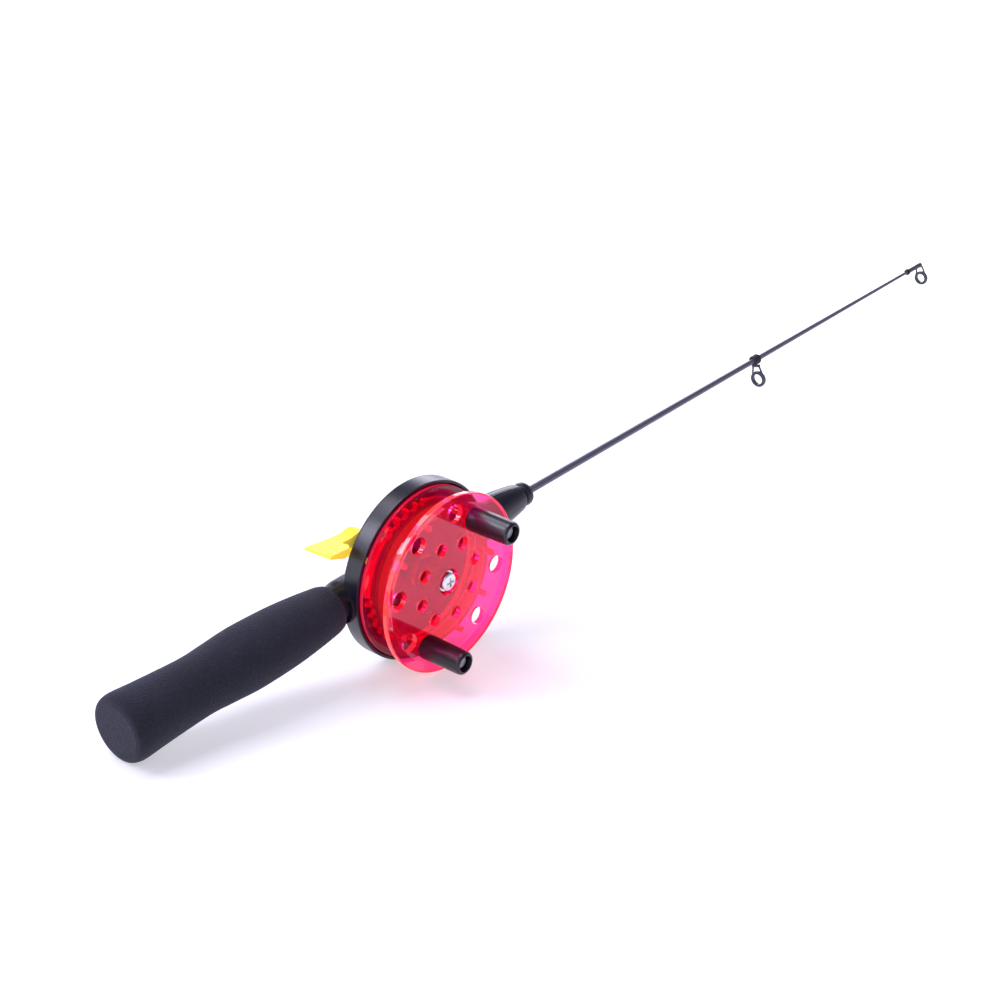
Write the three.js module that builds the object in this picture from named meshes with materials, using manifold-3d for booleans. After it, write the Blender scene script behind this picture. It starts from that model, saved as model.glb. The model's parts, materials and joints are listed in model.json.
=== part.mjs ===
// Short ice fishing rod with a fixed reel: a foam grip, a two-part moulded body, a transparent
// spool with two winding knobs, a sprung thumb brake, and a tapered blank with two line guides.
//
// Rod frame: +X runs along the blank from butt to tip, +Y is the reel's axis from its open front
// to its back, and +Z points away from the side that the rod lies on. The origin is the centre of
// the front flange's face. Every solid is made in that frame. The finished group is leaned so that
// the grip's end and the housing rest on z = 0, with the origin under the middle of the object.

import * as THREE from 'three';
import { mergeVertices } from 'three/addons/utils/BufferGeometryUtils.js';
import Module from 'manifold-3d';

const wasm = await Module();
wasm.setup();

// ---------------------------------------------------------------- driving dimensions (mm)

const GAP = 0.3;                 // between neighbouring pieces
const SEG_LARGE = 48;            // facets of a large round
const SEG_MID = 24;
const SEG_SMALL = 14;

// spool
const FLANGE_R = 37.5;           // front flange, outer rim
const FLANGE_T = 2.2;            // front flange, plate thickness
const RIM_RISE = 1.7;            // how far a flange's rim stands out of its plate
const RIM_W = 4;                 // width of the sloping rim
const HUB_R = 29;                // drum that the line winds on
const HUB_WALL = 1.8;
const GROOVE_W = 9.8;            // line groove between the flanges
const BACK_FLANGE_INSET = 1.5;   // back flange's rim inside the front flange's
const BACK_FLANGE_T = 2;
const NOTCH_COUNT = 10;          // notches in the drum's front end
const NOTCH_DEPTH = 3.5;
const NOTCH_ARC = 31;            // degrees
const RATCHET_TEETH = 36;
const RATCHET_PROUD = 2;         // ratchet's tooth tips outside the hub
const RATCHET_TOOTH = 1.8;
const RATCHET_W = 2.4;
const HOLE_COUNT = 8;            // holes in each ring of the front flange
const OUTER_HOLE_R = 3.8;
const OUTER_HOLE_PCR = 28.9;
const OUTER_HOLE_TURN = 35.6;    // degrees from +X to the first outer hole
const INNER_HOLE_R = 2.8;
const INNER_HOLE_PCR = 16.2;
const CENTRE_HOLE_R = 5.5;

// winding knobs
const KNOB_COUNT = 2;
const KNOB_PCR = 26.8;
const KNOB_TURN = 57.2;          // degrees from +X to the first knob
const KNOB_L = 20.5;
const KNOB_R = 4.9;
const KNOB_RECESS_R = 3.3;
const KNOB_RECESS_D = 3.8;
const KNOB_PIN_R = 1.8;
const KNOB_PIN_HEAD_R = 2.6;
const KNOB_PIN_HEAD_T = 1.6;

// axle
const AXLE_R = 2.5;
const BUSH_WALL = 1.2;
const BOSS_R = 7.2;              // drum boss round the bush
const AXLE_SCREW_R = 1.3;
const AXLE_SCREW_HEAD_R = 3.75;
const AXLE_SCREW_HEAD_T = 1.9;
const WASHER_R = 4.4;
const WASHER_T = 0.5;
const NUT_R = 4.6;               // across corners
const NUT_T = 2.4;

// housing, the pan behind the spool
const HOUSING_WALL = 1.2;
const HOUSING_CLEARANCE = 0.6;   // pan wall to the drum's back flange
const HOUSING_DEPTH = 8.1;
const HOUSING_FLOOR = 1.5;
const LIP_BEHIND_GROOVE = 2.05;  // pan lip behind the front face of the back flange
const PAN_BOSS_R = 6;

// spine, the round body in line with the rod
const AXIS_BEHIND_PAN = 1.85;    // rod axis behind the pan's back face
const NECK_L = 4.2;              // neck outside the pan's rim
const NECK_WALL = 2;
const NECK_FLARE = 0.8;
const HANDLE_DROP = 1.3;         // handle axis below the blank's axis
const SPINE_R = 8.7;
const NOSE_ROOT_L = 4.2;         // straight part of the nose outside the pan's rim
const NOSE_L = 29;               // tapering part
const NOSE_END_R = 5.5;
const NOSE_SHOULDER_R = 7.2;
const SPINE_WALL = 2;
const COVER_TO_LEVER = 0.54;
const COVER_DEPTH = 7.1;
const COVER_WALL = 2;
const COVER_DRAFT = 0.8;
const COVER_SCREW_TURN = 48;     // degrees from the rod's line to each cover screw
const COVER_SCREW_R = 1.3;
const COVER_SCREW_HEAD_R = 2.7;
const COVER_SCREW_HEAD_T = 1.3;
const COVER_BOSS_R = 3.6;
const PAN_POST_R = 2.8;
const PAN_POST_H = 4.2;
const LATCH_SLOT = { length: 2.9, height: 10, inset: 0.6, drop: 2 };

// handle
const GRIP_L = 105.7;
const CORE_R = 6.2;
const CORE_WALL = 1.8;
const CORE_PLUG_L = 7.5;         // core inside the neck
const CORE_BUTT_COVER = 6.5;     // foam left behind the core
// distance from the butt and radius of the grip's swells and waists
const GRIP_OUTLINE = [[0, 10.4], [0.7, 12.2], [2.6, 13.2], [6, 13.4], [16, 12.6], [36, 11.7],
  [46, 12.15], [59, 12.95], [69, 12.9], [80, 12.5], [91, 11.6], [102, 10.3]];
const GRIP_FRONT_R = 9.7;
const GRIP_FRONT_FACE_R = 9;

// blank and ferrule
const FERRULE_R = 3;
const FERRULE_L = 25;            // ferrule inside the nose
const BEAD_R = 5.2;
const BEAD_W = 4.2;
const BEAD_NECK_R = 4.4;
const BEAD_NECK_W = 1.3;
const FERRULE_FLOOR = 2;
const BLANK_ROOT_R = 1.72;
const BLANK_MID_X = 262;
const BLANK_MID_R = 1.28;
const TIP_X = 417.4;
const BLANK_TIP_R = 0.72;

// line guides
const GUIDE_ROLL = 15;           // degrees that the guides turn towards the spool
const GUIDE_WIRE_R = 0.45;
const LEG_FOOT = 1.5;            // half spread of the legs where they start
const GUIDE_RING_WALL = 0.75;
const GUIDE_RING_T = 1.5;
const INSERT_WALL = 0.5;
const INSERT_T = 2;
const MID_GUIDE_X = 253.7;
const MID_GUIDE_DROP = 9.8;      // rod axis to ring centre
const MID_RING_R = 4.1;
const MID_SLEEVE_R = 2.5;
const MID_SLEEVE_L = 4.6;
const TIP_GUIDE_DROP = 7.2;
const TIP_RING_R = 3.8;
const TIP_TUBE_L = 13.4;
const TIP_TUBE_WALL = 0.2;
const TIP_BEAD_WALL = 0.6;
const TIP_BEAD_L = 1.8;

// thumb brake
const PIVOT_INSET = 9.06;        // lever pivot inside the pan's rim
const PIVOT_TURN = 140;          // degrees from +X, seen from the front
const LEVER_W = 6;               // thickness along the pivot
const LEVER_HUB_R = 4;
const LEVER_PIN_R = 1.5;
const LEVER_PIN_HEAD_R = 3;
const LEVER_PIN_HEAD_T = 1.3;
const LEVER_BOSS_R = 3.2;
const LEVER_BOSS_H = 1.7;
const BRAKE_TAIL_L = 7;          // pivot to brake nose
const BRAKE_NOSE_R = 1.2;
const BRAKE_NOSE_CLEAR = 1;      // rest gap between the nose and the ratchet's teeth
const BRAKE_TRAVEL = 7;          // degrees
const TAIL_W = 3.4;
// side view of the arm and of the thumb pad, from the pivot
const ARM_OUTLINE = [[3, 2.6], [1.6, 4.8], [-2, 6.3], [-6.8, 5.4], [-12, 5.4], [-12, 3], [-3.9, 0.2]];
const PAD_SIDE = [[-24.7, 6.5], [-24.7, 5.4], [-15, 1.9], [-11, 4], [-6.8, 4.4], [-6.8, 5.4], [-12, 5.5]];
// plan view of the thumb pad: from the pivot, and from the middle of the lever's thickness
const PAD_PLAN = [[-23.1, -8], [-13.2, -8], [-11.3, -6.2], [-11.9, -3], [-6.8, -3], [-6.8, 3],
  [-24.7, 4.4]];
const SPRING_WIRE_R = 0.25;
const SPRING_TURNS = 1.5;
const SPRING_LEG = 7;

// ---------------------------------------------------------------- places worked out from them

const backFlangeR = FLANGE_R - BACK_FLANGE_INSET;
const ratchetR = HUB_R + RATCHET_PROUD;
const drumFrontY = FLANGE_T + GAP;
const bushFrontY = FLANGE_T;      // the bush reaches into the front flange's centre hole
const backFlangeY = FLANGE_T + GROOVE_W;
const webBackY = backFlangeY + BACK_FLANGE_T;
const ratchetBackY = webBackY + RATCHET_W;
const housingInR = backFlangeR + HOUSING_CLEARANCE;
const housingR = housingInR + HOUSING_WALL;
const lipY = backFlangeY + LIP_BEHIND_GROOVE;
const panBackY = lipY + HOUSING_DEPTH;
const panFloorY = panBackY - HOUSING_FLOOR;
const axisY = panBackY + AXIS_BEHIND_PAN;
const neckR = CORE_R + NECK_WALL;
const neckFlareR = neckR + NECK_FLARE;
const neckEndX = -housingR - NECK_L;
const gripFrontX = neckEndX - GAP * 2;
const gripButtX = gripFrontX - GRIP_L;
const coreFrontX = neckEndX + CORE_PLUG_L;
const noseRootX = housingR + NOSE_ROOT_L;
const noseEndX = noseRootX + NOSE_L;
const ferruleRootX = noseEndX - FERRULE_L;
const blankRootX = ferruleRootX + FERRULE_FLOOR;
const coverY = panBackY + GAP;
const coverBackY = coverY + COVER_DEPTH;
const boreR = AXLE_R + GAP;
const bushR = boreR + BUSH_WALL;
const coreHoleR = CORE_R + GAP;
const ferruleHoleR = FERRULE_R + GAP;
const holeStep = 360 / HOLE_COUNT;
const leverY = panBackY + LEVER_BOSS_H + GAP;
const leverMidY = leverY + LEVER_W / 2;
const pivotR = housingR - PIVOT_INSET;
const pivot = { x: pivotR * Math.cos(radians(PIVOT_TURN)), z: pivotR * Math.sin(radians(PIVOT_TURN)) };
const coverR = pivotR - LEVER_HUB_R - COVER_TO_LEVER;
const noseDistance = ratchetR + BRAKE_NOSE_CLEAR + BRAKE_NOSE_R;
const noseTurn = radians(PIVOT_TURN) + Math.acos(
  (pivotR ** 2 + noseDistance ** 2 - BRAKE_TAIL_L ** 2) / (2 * pivotR * noseDistance));
const noseX = noseDistance * Math.cos(noseTurn);
const noseZ = noseDistance * Math.sin(noseTurn);
const noseFrontY = webBackY + GAP * 2;

// ---------------------------------------------------------------- materials

const plastic = (color, roughness) => new THREE.MeshStandardMaterial({ color, roughness });
const metal = (color, roughness) =>
  new THREE.MeshStandardMaterial({ color, roughness, metalness: 1 });

const foam = plastic(0x24252b, 0.95);
const blackShell = plastic(0x17181f, 0.5);
const knobBlack = plastic(0x0d0d12, 0.2);
const innerPlastic = plastic(0x2b2c30, 0.6);
const blankCarbon = plastic(0x26272e, 0.4);
const leverYellow = plastic(0xffd92e, 0.4);
const guideBlack = plastic(0x1b1c22, 0.35);
const insertCeramic = plastic(0x3a3c44, 0.25);
const rubber = plastic(0x15151a, 0.8);
const steel = metal(0xc4c7cc, 0.25);
const darkSteel = metal(0x6b6e75, 0.4);
const brass = metal(0xb48a3c, 0.35);
const spoolRed = new THREE.MeshStandardMaterial({
  color: 0xe8123c, roughness: 0.1, transparent: true, opacity: 0.6
});

// ---------------------------------------------------------------- solid helpers

function radians(degrees) {
  return THREE.MathUtils.degToRad(degrees);
}

// A closed geometry becomes a solid: shared corners are merged, slivers dropped and faces turned out.
function solid(geometry) {
  geometry.deleteAttribute('normal');
  geometry.deleteAttribute('uv');
  const merged = mergeVertices(geometry);
  const position = merged.attributes.position;
  const index = merged.index.array;
  const triVerts = [];
  const a = new THREE.Vector3();
  const b = new THREE.Vector3();
  const c = new THREE.Vector3();
  let volume = 0;
  for (let i = 0; i < index.length; i += 3) {
    const [p, q, r] = [index[i], index[i + 1], index[i + 2]];
    if (p === q || q === r || r === p) continue;
    triVerts.push(p, q, r);
    a.fromBufferAttribute(position, p);
    b.fromBufferAttribute(position, q);
    c.fromBufferAttribute(position, r);
    volume += a.dot(b.cross(c));
  }
  if (volume < 0) triVerts.reverse();
  return new wasm.Manifold(new wasm.Mesh({
    numProp: 3,
    vertProperties: new Float32Array(position.array),
    triVerts: new Uint32Array(triVerts)
  }));
}

// Rounds: outlines are lists of [place along the axis, radius].
function latheY(outline, segments = SEG_LARGE) {
  const points = outline.map(([along, radius]) => new THREE.Vector2(radius, along));
  return solid(new THREE.LatheGeometry(points, segments));
}

function latheX(outline, segments = SEG_MID, z = 0) {
  const points = outline.map(([along, radius]) => new THREE.Vector2(radius, along));
  return solid(new THREE.LatheGeometry(points, segments).rotateZ(-Math.PI / 2).translate(0, axisY, z));
}

function rodY(radius, y0, y1, x = 0, z = 0, segments = SEG_SMALL) {
  const geometry = new THREE.CylinderGeometry(radius, radius, y1 - y0, segments);
  return solid(geometry.translate(x, (y0 + y1) / 2, z));
}

function box(x0, x1, y0, y1, z0, z1) {
  const geometry = new THREE.BoxGeometry(x1 - x0, y1 - y0, z1 - z0);
  return solid(geometry.translate((x0 + x1) / 2, (y0 + y1) / 2, (z0 + z1) / 2));
}

function shapeOf(points) {
  return new THREE.Shape(points.map(([u, v]) => new THREE.Vector2(u, v)));
}

// An outline in x and z, extruded from y0 to y1.
function prismY(points, y0, y1) {
  const options = { depth: y1 - y0, bevelEnabled: false };
  const geometry = new THREE.ExtrudeGeometry(shapeOf(points), options);
  return solid(geometry.rotateX(Math.PI / 2).translate(0, y1, 0));
}

// An outline in x and y, extruded from z0 to z1.
function prismZ(points, z0, z1) {
  const options = { depth: z1 - z0, bevelEnabled: false };
  return solid(new THREE.ExtrudeGeometry(shapeOf(points), options).translate(0, 0, z0));
}

// A round wire along a curve.
function wire(curve, radius, steps, sides = 8) {
  const section = new THREE.Shape();
  section.absarc(0, 0, radius, 0, Math.PI * 2);
  const options = { steps, extrudePath: curve, bevelEnabled: false, curveSegments: sides / 2 };
  return solid(new THREE.ExtrudeGeometry(section, options));
}

function cut(body, ...tools) {
  return tools.reduce((rest, tool) => rest.subtract(tool), body);
}

function join(body, ...pieces) {
  return pieces.reduce((sum, piece) => sum.add(piece), body);
}

function circlePlaces(count, radius, firstDegrees) {
  return Array.from({ length: count }, (_, i) => {
    const turn = radians(firstDegrees + i * 360 / count);
    return { turn, x: radius * Math.cos(turn), z: radius * Math.sin(turn) };
  });
}

// ---------------------------------------------------------------- spool

function frontFlange() {
  const rimStart = FLANGE_R - RIM_W;
  const plate = latheY([
    [0, CENTRE_HOLE_R], [0, rimStart], [-RIM_RISE * 0.85, FLANGE_R - 0.7], [-RIM_RISE, FLANGE_R - 0.3],
    [-RIM_RISE + 0.3, FLANGE_R], [0.6, FLANGE_R], [FLANGE_T, rimStart], [FLANGE_T, CENTRE_HOLE_R],
    [0, CENTRE_HOLE_R]
  ]);
  const drill = (radius, places) =>
    places.map(({ x, z }) => rodY(radius, -1, FLANGE_T + 1, x, z));
  return cut(plate,
    ...drill(OUTER_HOLE_R, circlePlaces(HOLE_COUNT, OUTER_HOLE_PCR, OUTER_HOLE_TURN)),
    ...drill(INNER_HOLE_R, circlePlaces(HOLE_COUNT, INNER_HOLE_PCR, OUTER_HOLE_TURN + holeStep / 2)),
    ...drill(KNOB_PIN_R + GAP, circlePlaces(KNOB_COUNT, KNOB_PCR, KNOB_TURN)));
}

// Ratchet ring outline: one straight flank and one slope for each tooth.
function ratchetOutline() {
  const root = ratchetR - RATCHET_TOOTH;
  const points = [];
  for (let i = 0; i < RATCHET_TEETH; i++) {
    const start = i * 2 * Math.PI / RATCHET_TEETH;
    const pitch = 2 * Math.PI / RATCHET_TEETH;
    for (const [share, radius] of [[0, root], [0.3, ratchetR], [0.6, ratchetR], [0.9, root]]) {
      const turn = start + share * pitch;
      points.push([radius * Math.cos(turn), radius * Math.sin(turn)]);
    }
  }
  return points;
}

function spoolDrum() {
  const hubInR = HUB_R - HUB_WALL;
  const rimStart = backFlangeR - RIM_W * 0.7;
  const shell = latheY([
    [drumFrontY + 1, bushR + GAP], [drumFrontY + 1, BOSS_R], [backFlangeY, BOSS_R],
    [backFlangeY, hubInR], [drumFrontY, hubInR], [drumFrontY, HUB_R], [backFlangeY, HUB_R],
    [backFlangeY, rimStart], [backFlangeY + 1, backFlangeR], [webBackY + 0.4, backFlangeR],
    [webBackY, rimStart], [webBackY, BOSS_R], [ratchetBackY, BOSS_R], [ratchetBackY, bushR + GAP],
    [drumFrontY + 1, bushR + GAP]
  ]);
  const ring = prismY(ratchetOutline(), webBackY - 0.5, ratchetBackY);
  const ratchet = cut(ring, rodY(hubInR, webBackY - 1, ratchetBackY + 1, 0, 0, SEG_LARGE));
  const half = radians(NOTCH_ARC / 2);
  const notches = circlePlaces(NOTCH_COUNT, HUB_R, 180 / NOTCH_COUNT).map(({ turn }) => {
    const reach = HUB_R + 3;
    const near = hubInR - 3;
    const outline = [[near, -half], [reach, -half], [reach, half], [near, half]];
    const corners = outline.map(([radius, side]) =>
      [radius * Math.cos(turn + side), radius * Math.sin(turn + side)]);
    return prismY(corners, drumFrontY - 1, drumFrontY + NOTCH_DEPTH);
  });
  return cut(join(shell, ratchet), ...notches);
}

function bush() {
  return latheY([
    [bushFrontY, boreR], [bushFrontY, bushR], [ratchetBackY, bushR], [ratchetBackY, boreR],
    [bushFrontY, boreR]
  ], SEG_MID);
}

// ---------------------------------------------------------------- knobs

function knob({ x, z }) {
  const tip = -GAP - KNOB_L;
  const floor = tip + KNOB_RECESS_D;
  const bore = KNOB_PIN_R + GAP;
  const body = latheY([
    [-GAP, bore], [-GAP, KNOB_R - 0.3], [-GAP - 0.8, KNOB_R + 0.2], [tip + 2, KNOB_R],
    [tip + 0.6, KNOB_R - 0.25], [tip, KNOB_R - 0.9], [tip, KNOB_RECESS_R], [floor, KNOB_RECESS_R],
    [floor, bore], [-GAP, bore]
  ], SEG_MID);
  return body.translate([x, 0, z]);
}

function knobPin({ x, z }) {
  const seat = -GAP - KNOB_L + KNOB_RECESS_D - GAP;
  const top = seat - KNOB_PIN_HEAD_T;
  const body = latheY([
    [FLANGE_T, 0], [FLANGE_T, KNOB_PIN_R], [seat, KNOB_PIN_R], [seat, KNOB_PIN_HEAD_R],
    [top + 0.4, KNOB_PIN_HEAD_R], [top, KNOB_PIN_HEAD_R - 0.4], [top, 0]
  ], SEG_SMALL);
  return body.translate([x, 0, z]);
}

// ---------------------------------------------------------------- axle and its fastenings

const washerY = bushFrontY - GAP - WASHER_T;
const axleFrontY = washerY + WASHER_T + GAP;
const nutY = panBackY + GAP;
const axleBackY = nutY + NUT_T + 1;

function axle() {
  const thread = AXLE_SCREW_R + GAP;
  return cut(rodY(AXLE_R, axleFrontY, axleBackY), rodY(thread, axleFrontY - 1, axleFrontY + 7));
}

function axleScrew() {
  const seat = washerY - GAP;
  const top = seat - AXLE_SCREW_HEAD_T;
  const body = latheY([
    [axleFrontY + 6, 0], [axleFrontY + 6, AXLE_SCREW_R], [seat, AXLE_SCREW_R],
    [seat, AXLE_SCREW_HEAD_R], [top + 0.7, AXLE_SCREW_HEAD_R], [top, AXLE_SCREW_HEAD_R - 1.2], [top, 0]
  ], SEG_SMALL);
  return cut(body, ...crossRecess(top, 4, 0.9));
}

// The two slots of a cross recess, sunk into a face at y.
function crossRecess(y, length, width, x = 0, z = 0, depth = 0.9, into = 1) {
  const [y0, y1] = into > 0 ? [y - 1, y + depth] : [y - depth, y + 1];
  const [l, w] = [length / 2, width / 2];
  return [box(x - l, x + l, y0, y1, z - w, z + w), box(x - w, x + w, y0, y1, z - l, z + l)];
}

function washer() {
  const hole = AXLE_SCREW_R + GAP;
  const disc = rodY(WASHER_R, washerY, washerY + WASHER_T);
  return cut(disc, rodY(hole, washerY - 1, washerY + 2));
}

function axleNut() {
  const hexagon = rodY(NUT_R, nutY, nutY + NUT_T, 0, 0, 6);
  return cut(hexagon, rodY(boreR, nutY - 1, nutY + NUT_T + 1));
}

// ---------------------------------------------------------------- body: pan, neck and nose

const neckInsideX = -coverR + 4;

// The neck lies on the handle's axis, the nose on the blank's, and they meet behind the pan.
function spineSolid() {
  const neck = latheX([[neckEndX, 0], [neckEndX, neckR], [neckEndX + 2.5, neckR + 0.1],
    [neckEndX + 5, neckFlareR - 0.2], [neckEndX + 9, neckFlareR], [neckInsideX, neckFlareR],
    [neckInsideX, 0]], SEG_LARGE / 2, -HANDLE_DROP);
  const nose = latheX([[neckInsideX - 4, 0], [neckInsideX - 4, SPINE_R], [noseRootX, SPINE_R],
    [noseRootX + 12, SPINE_R - 0.5], [noseEndX - 8, NOSE_SHOULDER_R],
    [noseEndX - 2.4, NOSE_END_R + 0.8], [noseEndX, NOSE_END_R], [noseEndX, 0]], SEG_LARGE / 2);
  return join(neck, nose);
}

// Bores along the spine: the handle core's socket and the ferrule's socket.
function spineBores() {
  const core = latheX([[neckEndX - 1, 0], [neckEndX - 1, coreHoleR],
    [coreFrontX + GAP, coreHoleR], [coreFrontX + GAP, 0]], SEG_MID, -HANDLE_DROP);
  const ferrule = latheX([[ferruleRootX - GAP, 0], [ferruleRootX - GAP, ferruleHoleR],
    [noseEndX + 1, ferruleHoleR], [noseEndX + 1, 0]]);
  return [core, ferrule];
}

const coverScrewR = coverR - COVER_WALL - COVER_DRAFT - PAN_POST_R - GAP;
const coverScrewPlaces = [0, 180].flatMap(side => [-1, 1].map(sign => {
  const turn = radians(side + sign * COVER_SCREW_TURN);
  return { x: coverScrewR * Math.cos(turn), z: coverScrewR * Math.sin(turn) };
}));

function brakeWindow() {
  const reach = BRAKE_NOSE_R + GAP * 2;
  const end = turned(noseX, noseZ, BRAKE_TRAVEL);
  return box(noseX - reach, end.x + reach, panFloorY - 1, panBackY + 1, end.z - reach, noseZ + reach);
}

// Where a point of the lever gets to when the lever is pressed by some degrees.
function turned(x, z, degrees) {
  const offset = new THREE.Vector2(x - pivot.x, z - pivot.z);
  offset.rotateAround(new THREE.Vector2(), radians(degrees));
  return { x: pivot.x + offset.x, z: pivot.z + offset.y };
}

function bodyFront() {
  const bossFrontY = ratchetBackY + GAP;
  const pan = latheY([
    [bossFrontY, boreR], [bossFrontY, PAN_BOSS_R], [panFloorY, PAN_BOSS_R], [panFloorY, housingInR - 1],
    [panFloorY - 1, housingInR], [lipY, housingInR], [lipY, housingR - 0.3], [lipY + 0.3, housingR],
    [panBackY - 1, housingR], [panBackY - 0.3, housingR - 0.3], [panBackY, housingR - 1],
    [panBackY, boreR], [bossFrontY, boreR]
  ], SEG_LARGE);
  const spineFront = cut(spineSolid(),
    rodY(housingR - 0.5, 0, panBackY + 1, 0, 0, SEG_LARGE),
    box(-200, 200, panBackY, axisY + 40, -60, 60));
  const posts = coverScrewPlaces.map(({ x, z }) =>
    rodY(PAN_POST_R, panBackY - 0.5, panBackY + PAN_POST_H, x, z));
  const pilots = coverScrewPlaces.map(({ x, z }) =>
    rodY(COVER_SCREW_R + GAP, panBackY + 0.3, panBackY + PAN_POST_H + 1, x, z));
  const { x, z } = pivot;
  const leverBoss = rodY(LEVER_BOSS_R, panBackY - 0.5, panBackY + LEVER_BOSS_H, x, z);
  const leverHole = rodY(LEVER_PIN_R + GAP, panBackY - 0.9, panBackY + LEVER_BOSS_H + 1, x, z);
  const slot = LATCH_SLOT;
  const slotX = neckEndX + slot.inset;
  const latch = box(slotX, slotX + slot.length, axisY - neckFlareR - 1, axisY - CORE_R + 2,
    -slot.drop - slot.height / 2, -slot.drop + slot.height / 2);
  return cut(join(pan, spineFront, ...posts, leverBoss),
    ...spineBores(), ...pilots, leverHole, latch, brakeWindow());
}

function rearCover() {
  const back = coverBackY;
  const [r, wall] = [coverR, COVER_WALL];
  const dome = latheY([[coverY, 0], [coverY, r], [back - 1.5, r - COVER_DRAFT],
    [back - 0.4, r - COVER_DRAFT - 0.5], [back, r - COVER_DRAFT - 1.6], [back, 0]], SEG_LARGE);
  const room = latheY([[coverY - 1, 0], [coverY - 1, r - wall], [back - wall, r - wall - COVER_DRAFT],
    [back - wall, 0]], SEG_LARGE);
  const spine = cut(spineSolid(), box(-200, 200, 0, coverY, -60, 60));
  const insideR = SPINE_R - SPINE_WALL;
  const roomEndX = noseRootX - 8;
  const spineRoom = latheX([[coreFrontX + 3, 0], [coreFrontX + 3, insideR], [roomEndX, insideR],
    [roomEndX, 0]]);
  const postTop = panBackY + PAN_POST_H + GAP;
  const bosses = coverScrewPlaces.map(({ x, z }) => rodY(COVER_BOSS_R, postTop, back - 1, x, z));
  const holes = coverScrewPlaces.map(({ x, z }) =>
    rodY(COVER_SCREW_R + GAP, coverY - 1, back + 1, x, z));
  const sinks = coverScrewPlaces.map(({ x, z }) =>
    rodY(COVER_SCREW_HEAD_R + GAP, back - COVER_SCREW_HEAD_T - 0.2, back + 1, x, z));
  const shell = cut(join(dome, spine), room, spineRoom, ...spineBores());
  return cut(join(shell, ...bosses), ...holes, ...sinks);
}

function coverScrew({ x, z }) {
  const top = coverBackY;
  const seat = top - COVER_SCREW_HEAD_T + 0.1;
  const body = latheY([
    [panBackY + 0.8, 0], [panBackY + 0.8, COVER_SCREW_R], [seat, COVER_SCREW_R],
    [seat, COVER_SCREW_HEAD_R], [top - 0.4, COVER_SCREW_HEAD_R], [top, COVER_SCREW_HEAD_R - 0.8], [top, 0]
  ], SEG_SMALL);
  return cut(body.translate([x, 0, z]), ...crossRecess(top, 3, 0.7, x, z, 0.8, -1));
}

// ---------------------------------------------------------------- thumb brake

function brakeLever() {
  const { x, z } = pivot;
  const place = points => points.map(([u, v]) => [x + u, z + v]);
  const hub = rodY(LEVER_HUB_R, leverY, leverY + LEVER_W, x, z, SEG_MID);
  const arm = prismY(place(ARM_OUTLINE), leverY, leverY + LEVER_W);
  const plan = PAD_PLAN.map(([u, v]) => [x + u, leverMidY + v]);
  const side = prismY(place(PAD_SIDE), leverMidY - 20, leverMidY + 20);
  const pad = prismZ(plan, z - 10, z + 20).intersect(side);
  const along = Math.atan2(noseZ - z, noseX - x);
  const [ux, uz] = [Math.cos(along) * TAIL_W / 2, Math.sin(along) * TAIL_W / 2];
  const tailOutline = [[x - uz, z + ux], [noseX - uz, noseZ + ux], [noseX + uz, noseZ - ux],
    [x + uz, z - ux]];
  const tail = join(prismY(tailOutline, leverY, leverY + LEVER_W),
    rodY(TAIL_W / 2, leverY, leverY + LEVER_W, noseX, noseZ));
  const nose = rodY(BRAKE_NOSE_R, noseFrontY, leverY + LEVER_W, noseX, noseZ);
  return cut(join(hub, arm, pad, tail, nose),
    rodY(LEVER_PIN_R + GAP, leverY - 1, leverY + LEVER_W + 1, x, z));
}

function leverPin() {
  const { x, z } = pivot;
  const seat = leverY + LEVER_W + GAP;
  const top = seat + LEVER_PIN_HEAD_T;
  const body = latheY([
    [panBackY - 0.6, 0], [panBackY - 0.6, LEVER_PIN_R], [seat, LEVER_PIN_R],
    [seat, LEVER_PIN_HEAD_R], [top - 0.4, LEVER_PIN_HEAD_R], [top, LEVER_PIN_HEAD_R - 0.7], [top, 0]
  ], SEG_SMALL);
  return body.translate([x, 0, z]);
}

// A torsion spring round the lever's boss, with one leg under the arm and one free leg.
class SpringCurve extends THREE.Curve {
  getPoint(t) {
    const { x, z } = pivot;
    const coil = LEVER_BOSS_R + GAP + SPRING_WIRE_R;
    const pitch = SPRING_WIRE_R * 2 + 0.1;
    const coilL = SPRING_TURNS * 2 * Math.PI * coil;
    const total = coilL + 2 * SPRING_LEG;
    const s = t * total;
    const onCoil = Math.min(Math.max(s - SPRING_LEG, 0), coilL);
    const turn = Math.PI + onCoil / coil;
    const past = s - SPRING_LEG - onCoil;
    const y = panBackY + GAP + SPRING_WIRE_R + pitch * onCoil / (2 * Math.PI * coil);
    return new THREE.Vector3(
      x + coil * Math.cos(turn) - past * Math.sin(turn), y,
      z + coil * Math.sin(turn) + past * Math.cos(turn));
  }
}

function leverSpring() {
  return wire(new SpringCurve(), SPRING_WIRE_R, 40, 6);
}

// ---------------------------------------------------------------- handle

function gripOutline() {
  const knots = GRIP_OUTLINE.map(([along, radius]) =>
    new THREE.Vector2(gripButtX + along, radius));
  const last = new THREE.Vector2(gripFrontX - 1, GRIP_FRONT_R);
  const curve = new THREE.SplineCurve([...knots, last]);
  return curve.getPoints(20).map(point => [point.x, point.y]);
}

function grip(outline) {
  const floor = gripButtX + CORE_BUTT_COVER;
  return latheX([[gripButtX, 0], ...outline, [gripFrontX, GRIP_FRONT_FACE_R],
    [gripFrontX, coreHoleR], [floor, coreHoleR], [floor, 0]], 30, -HANDLE_DROP);
}

function handleCore() {
  const butt = gripButtX + CORE_BUTT_COVER + GAP;
  const inR = CORE_R - CORE_WALL;
  return latheX([[butt, inR], [butt, CORE_R], [coreFrontX, CORE_R], [coreFrontX, inR], [butt, inR]],
    SEG_MID, -HANDLE_DROP);
}

// ---------------------------------------------------------------- blank and ferrule

const beadX = noseEndX + GAP;

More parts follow.
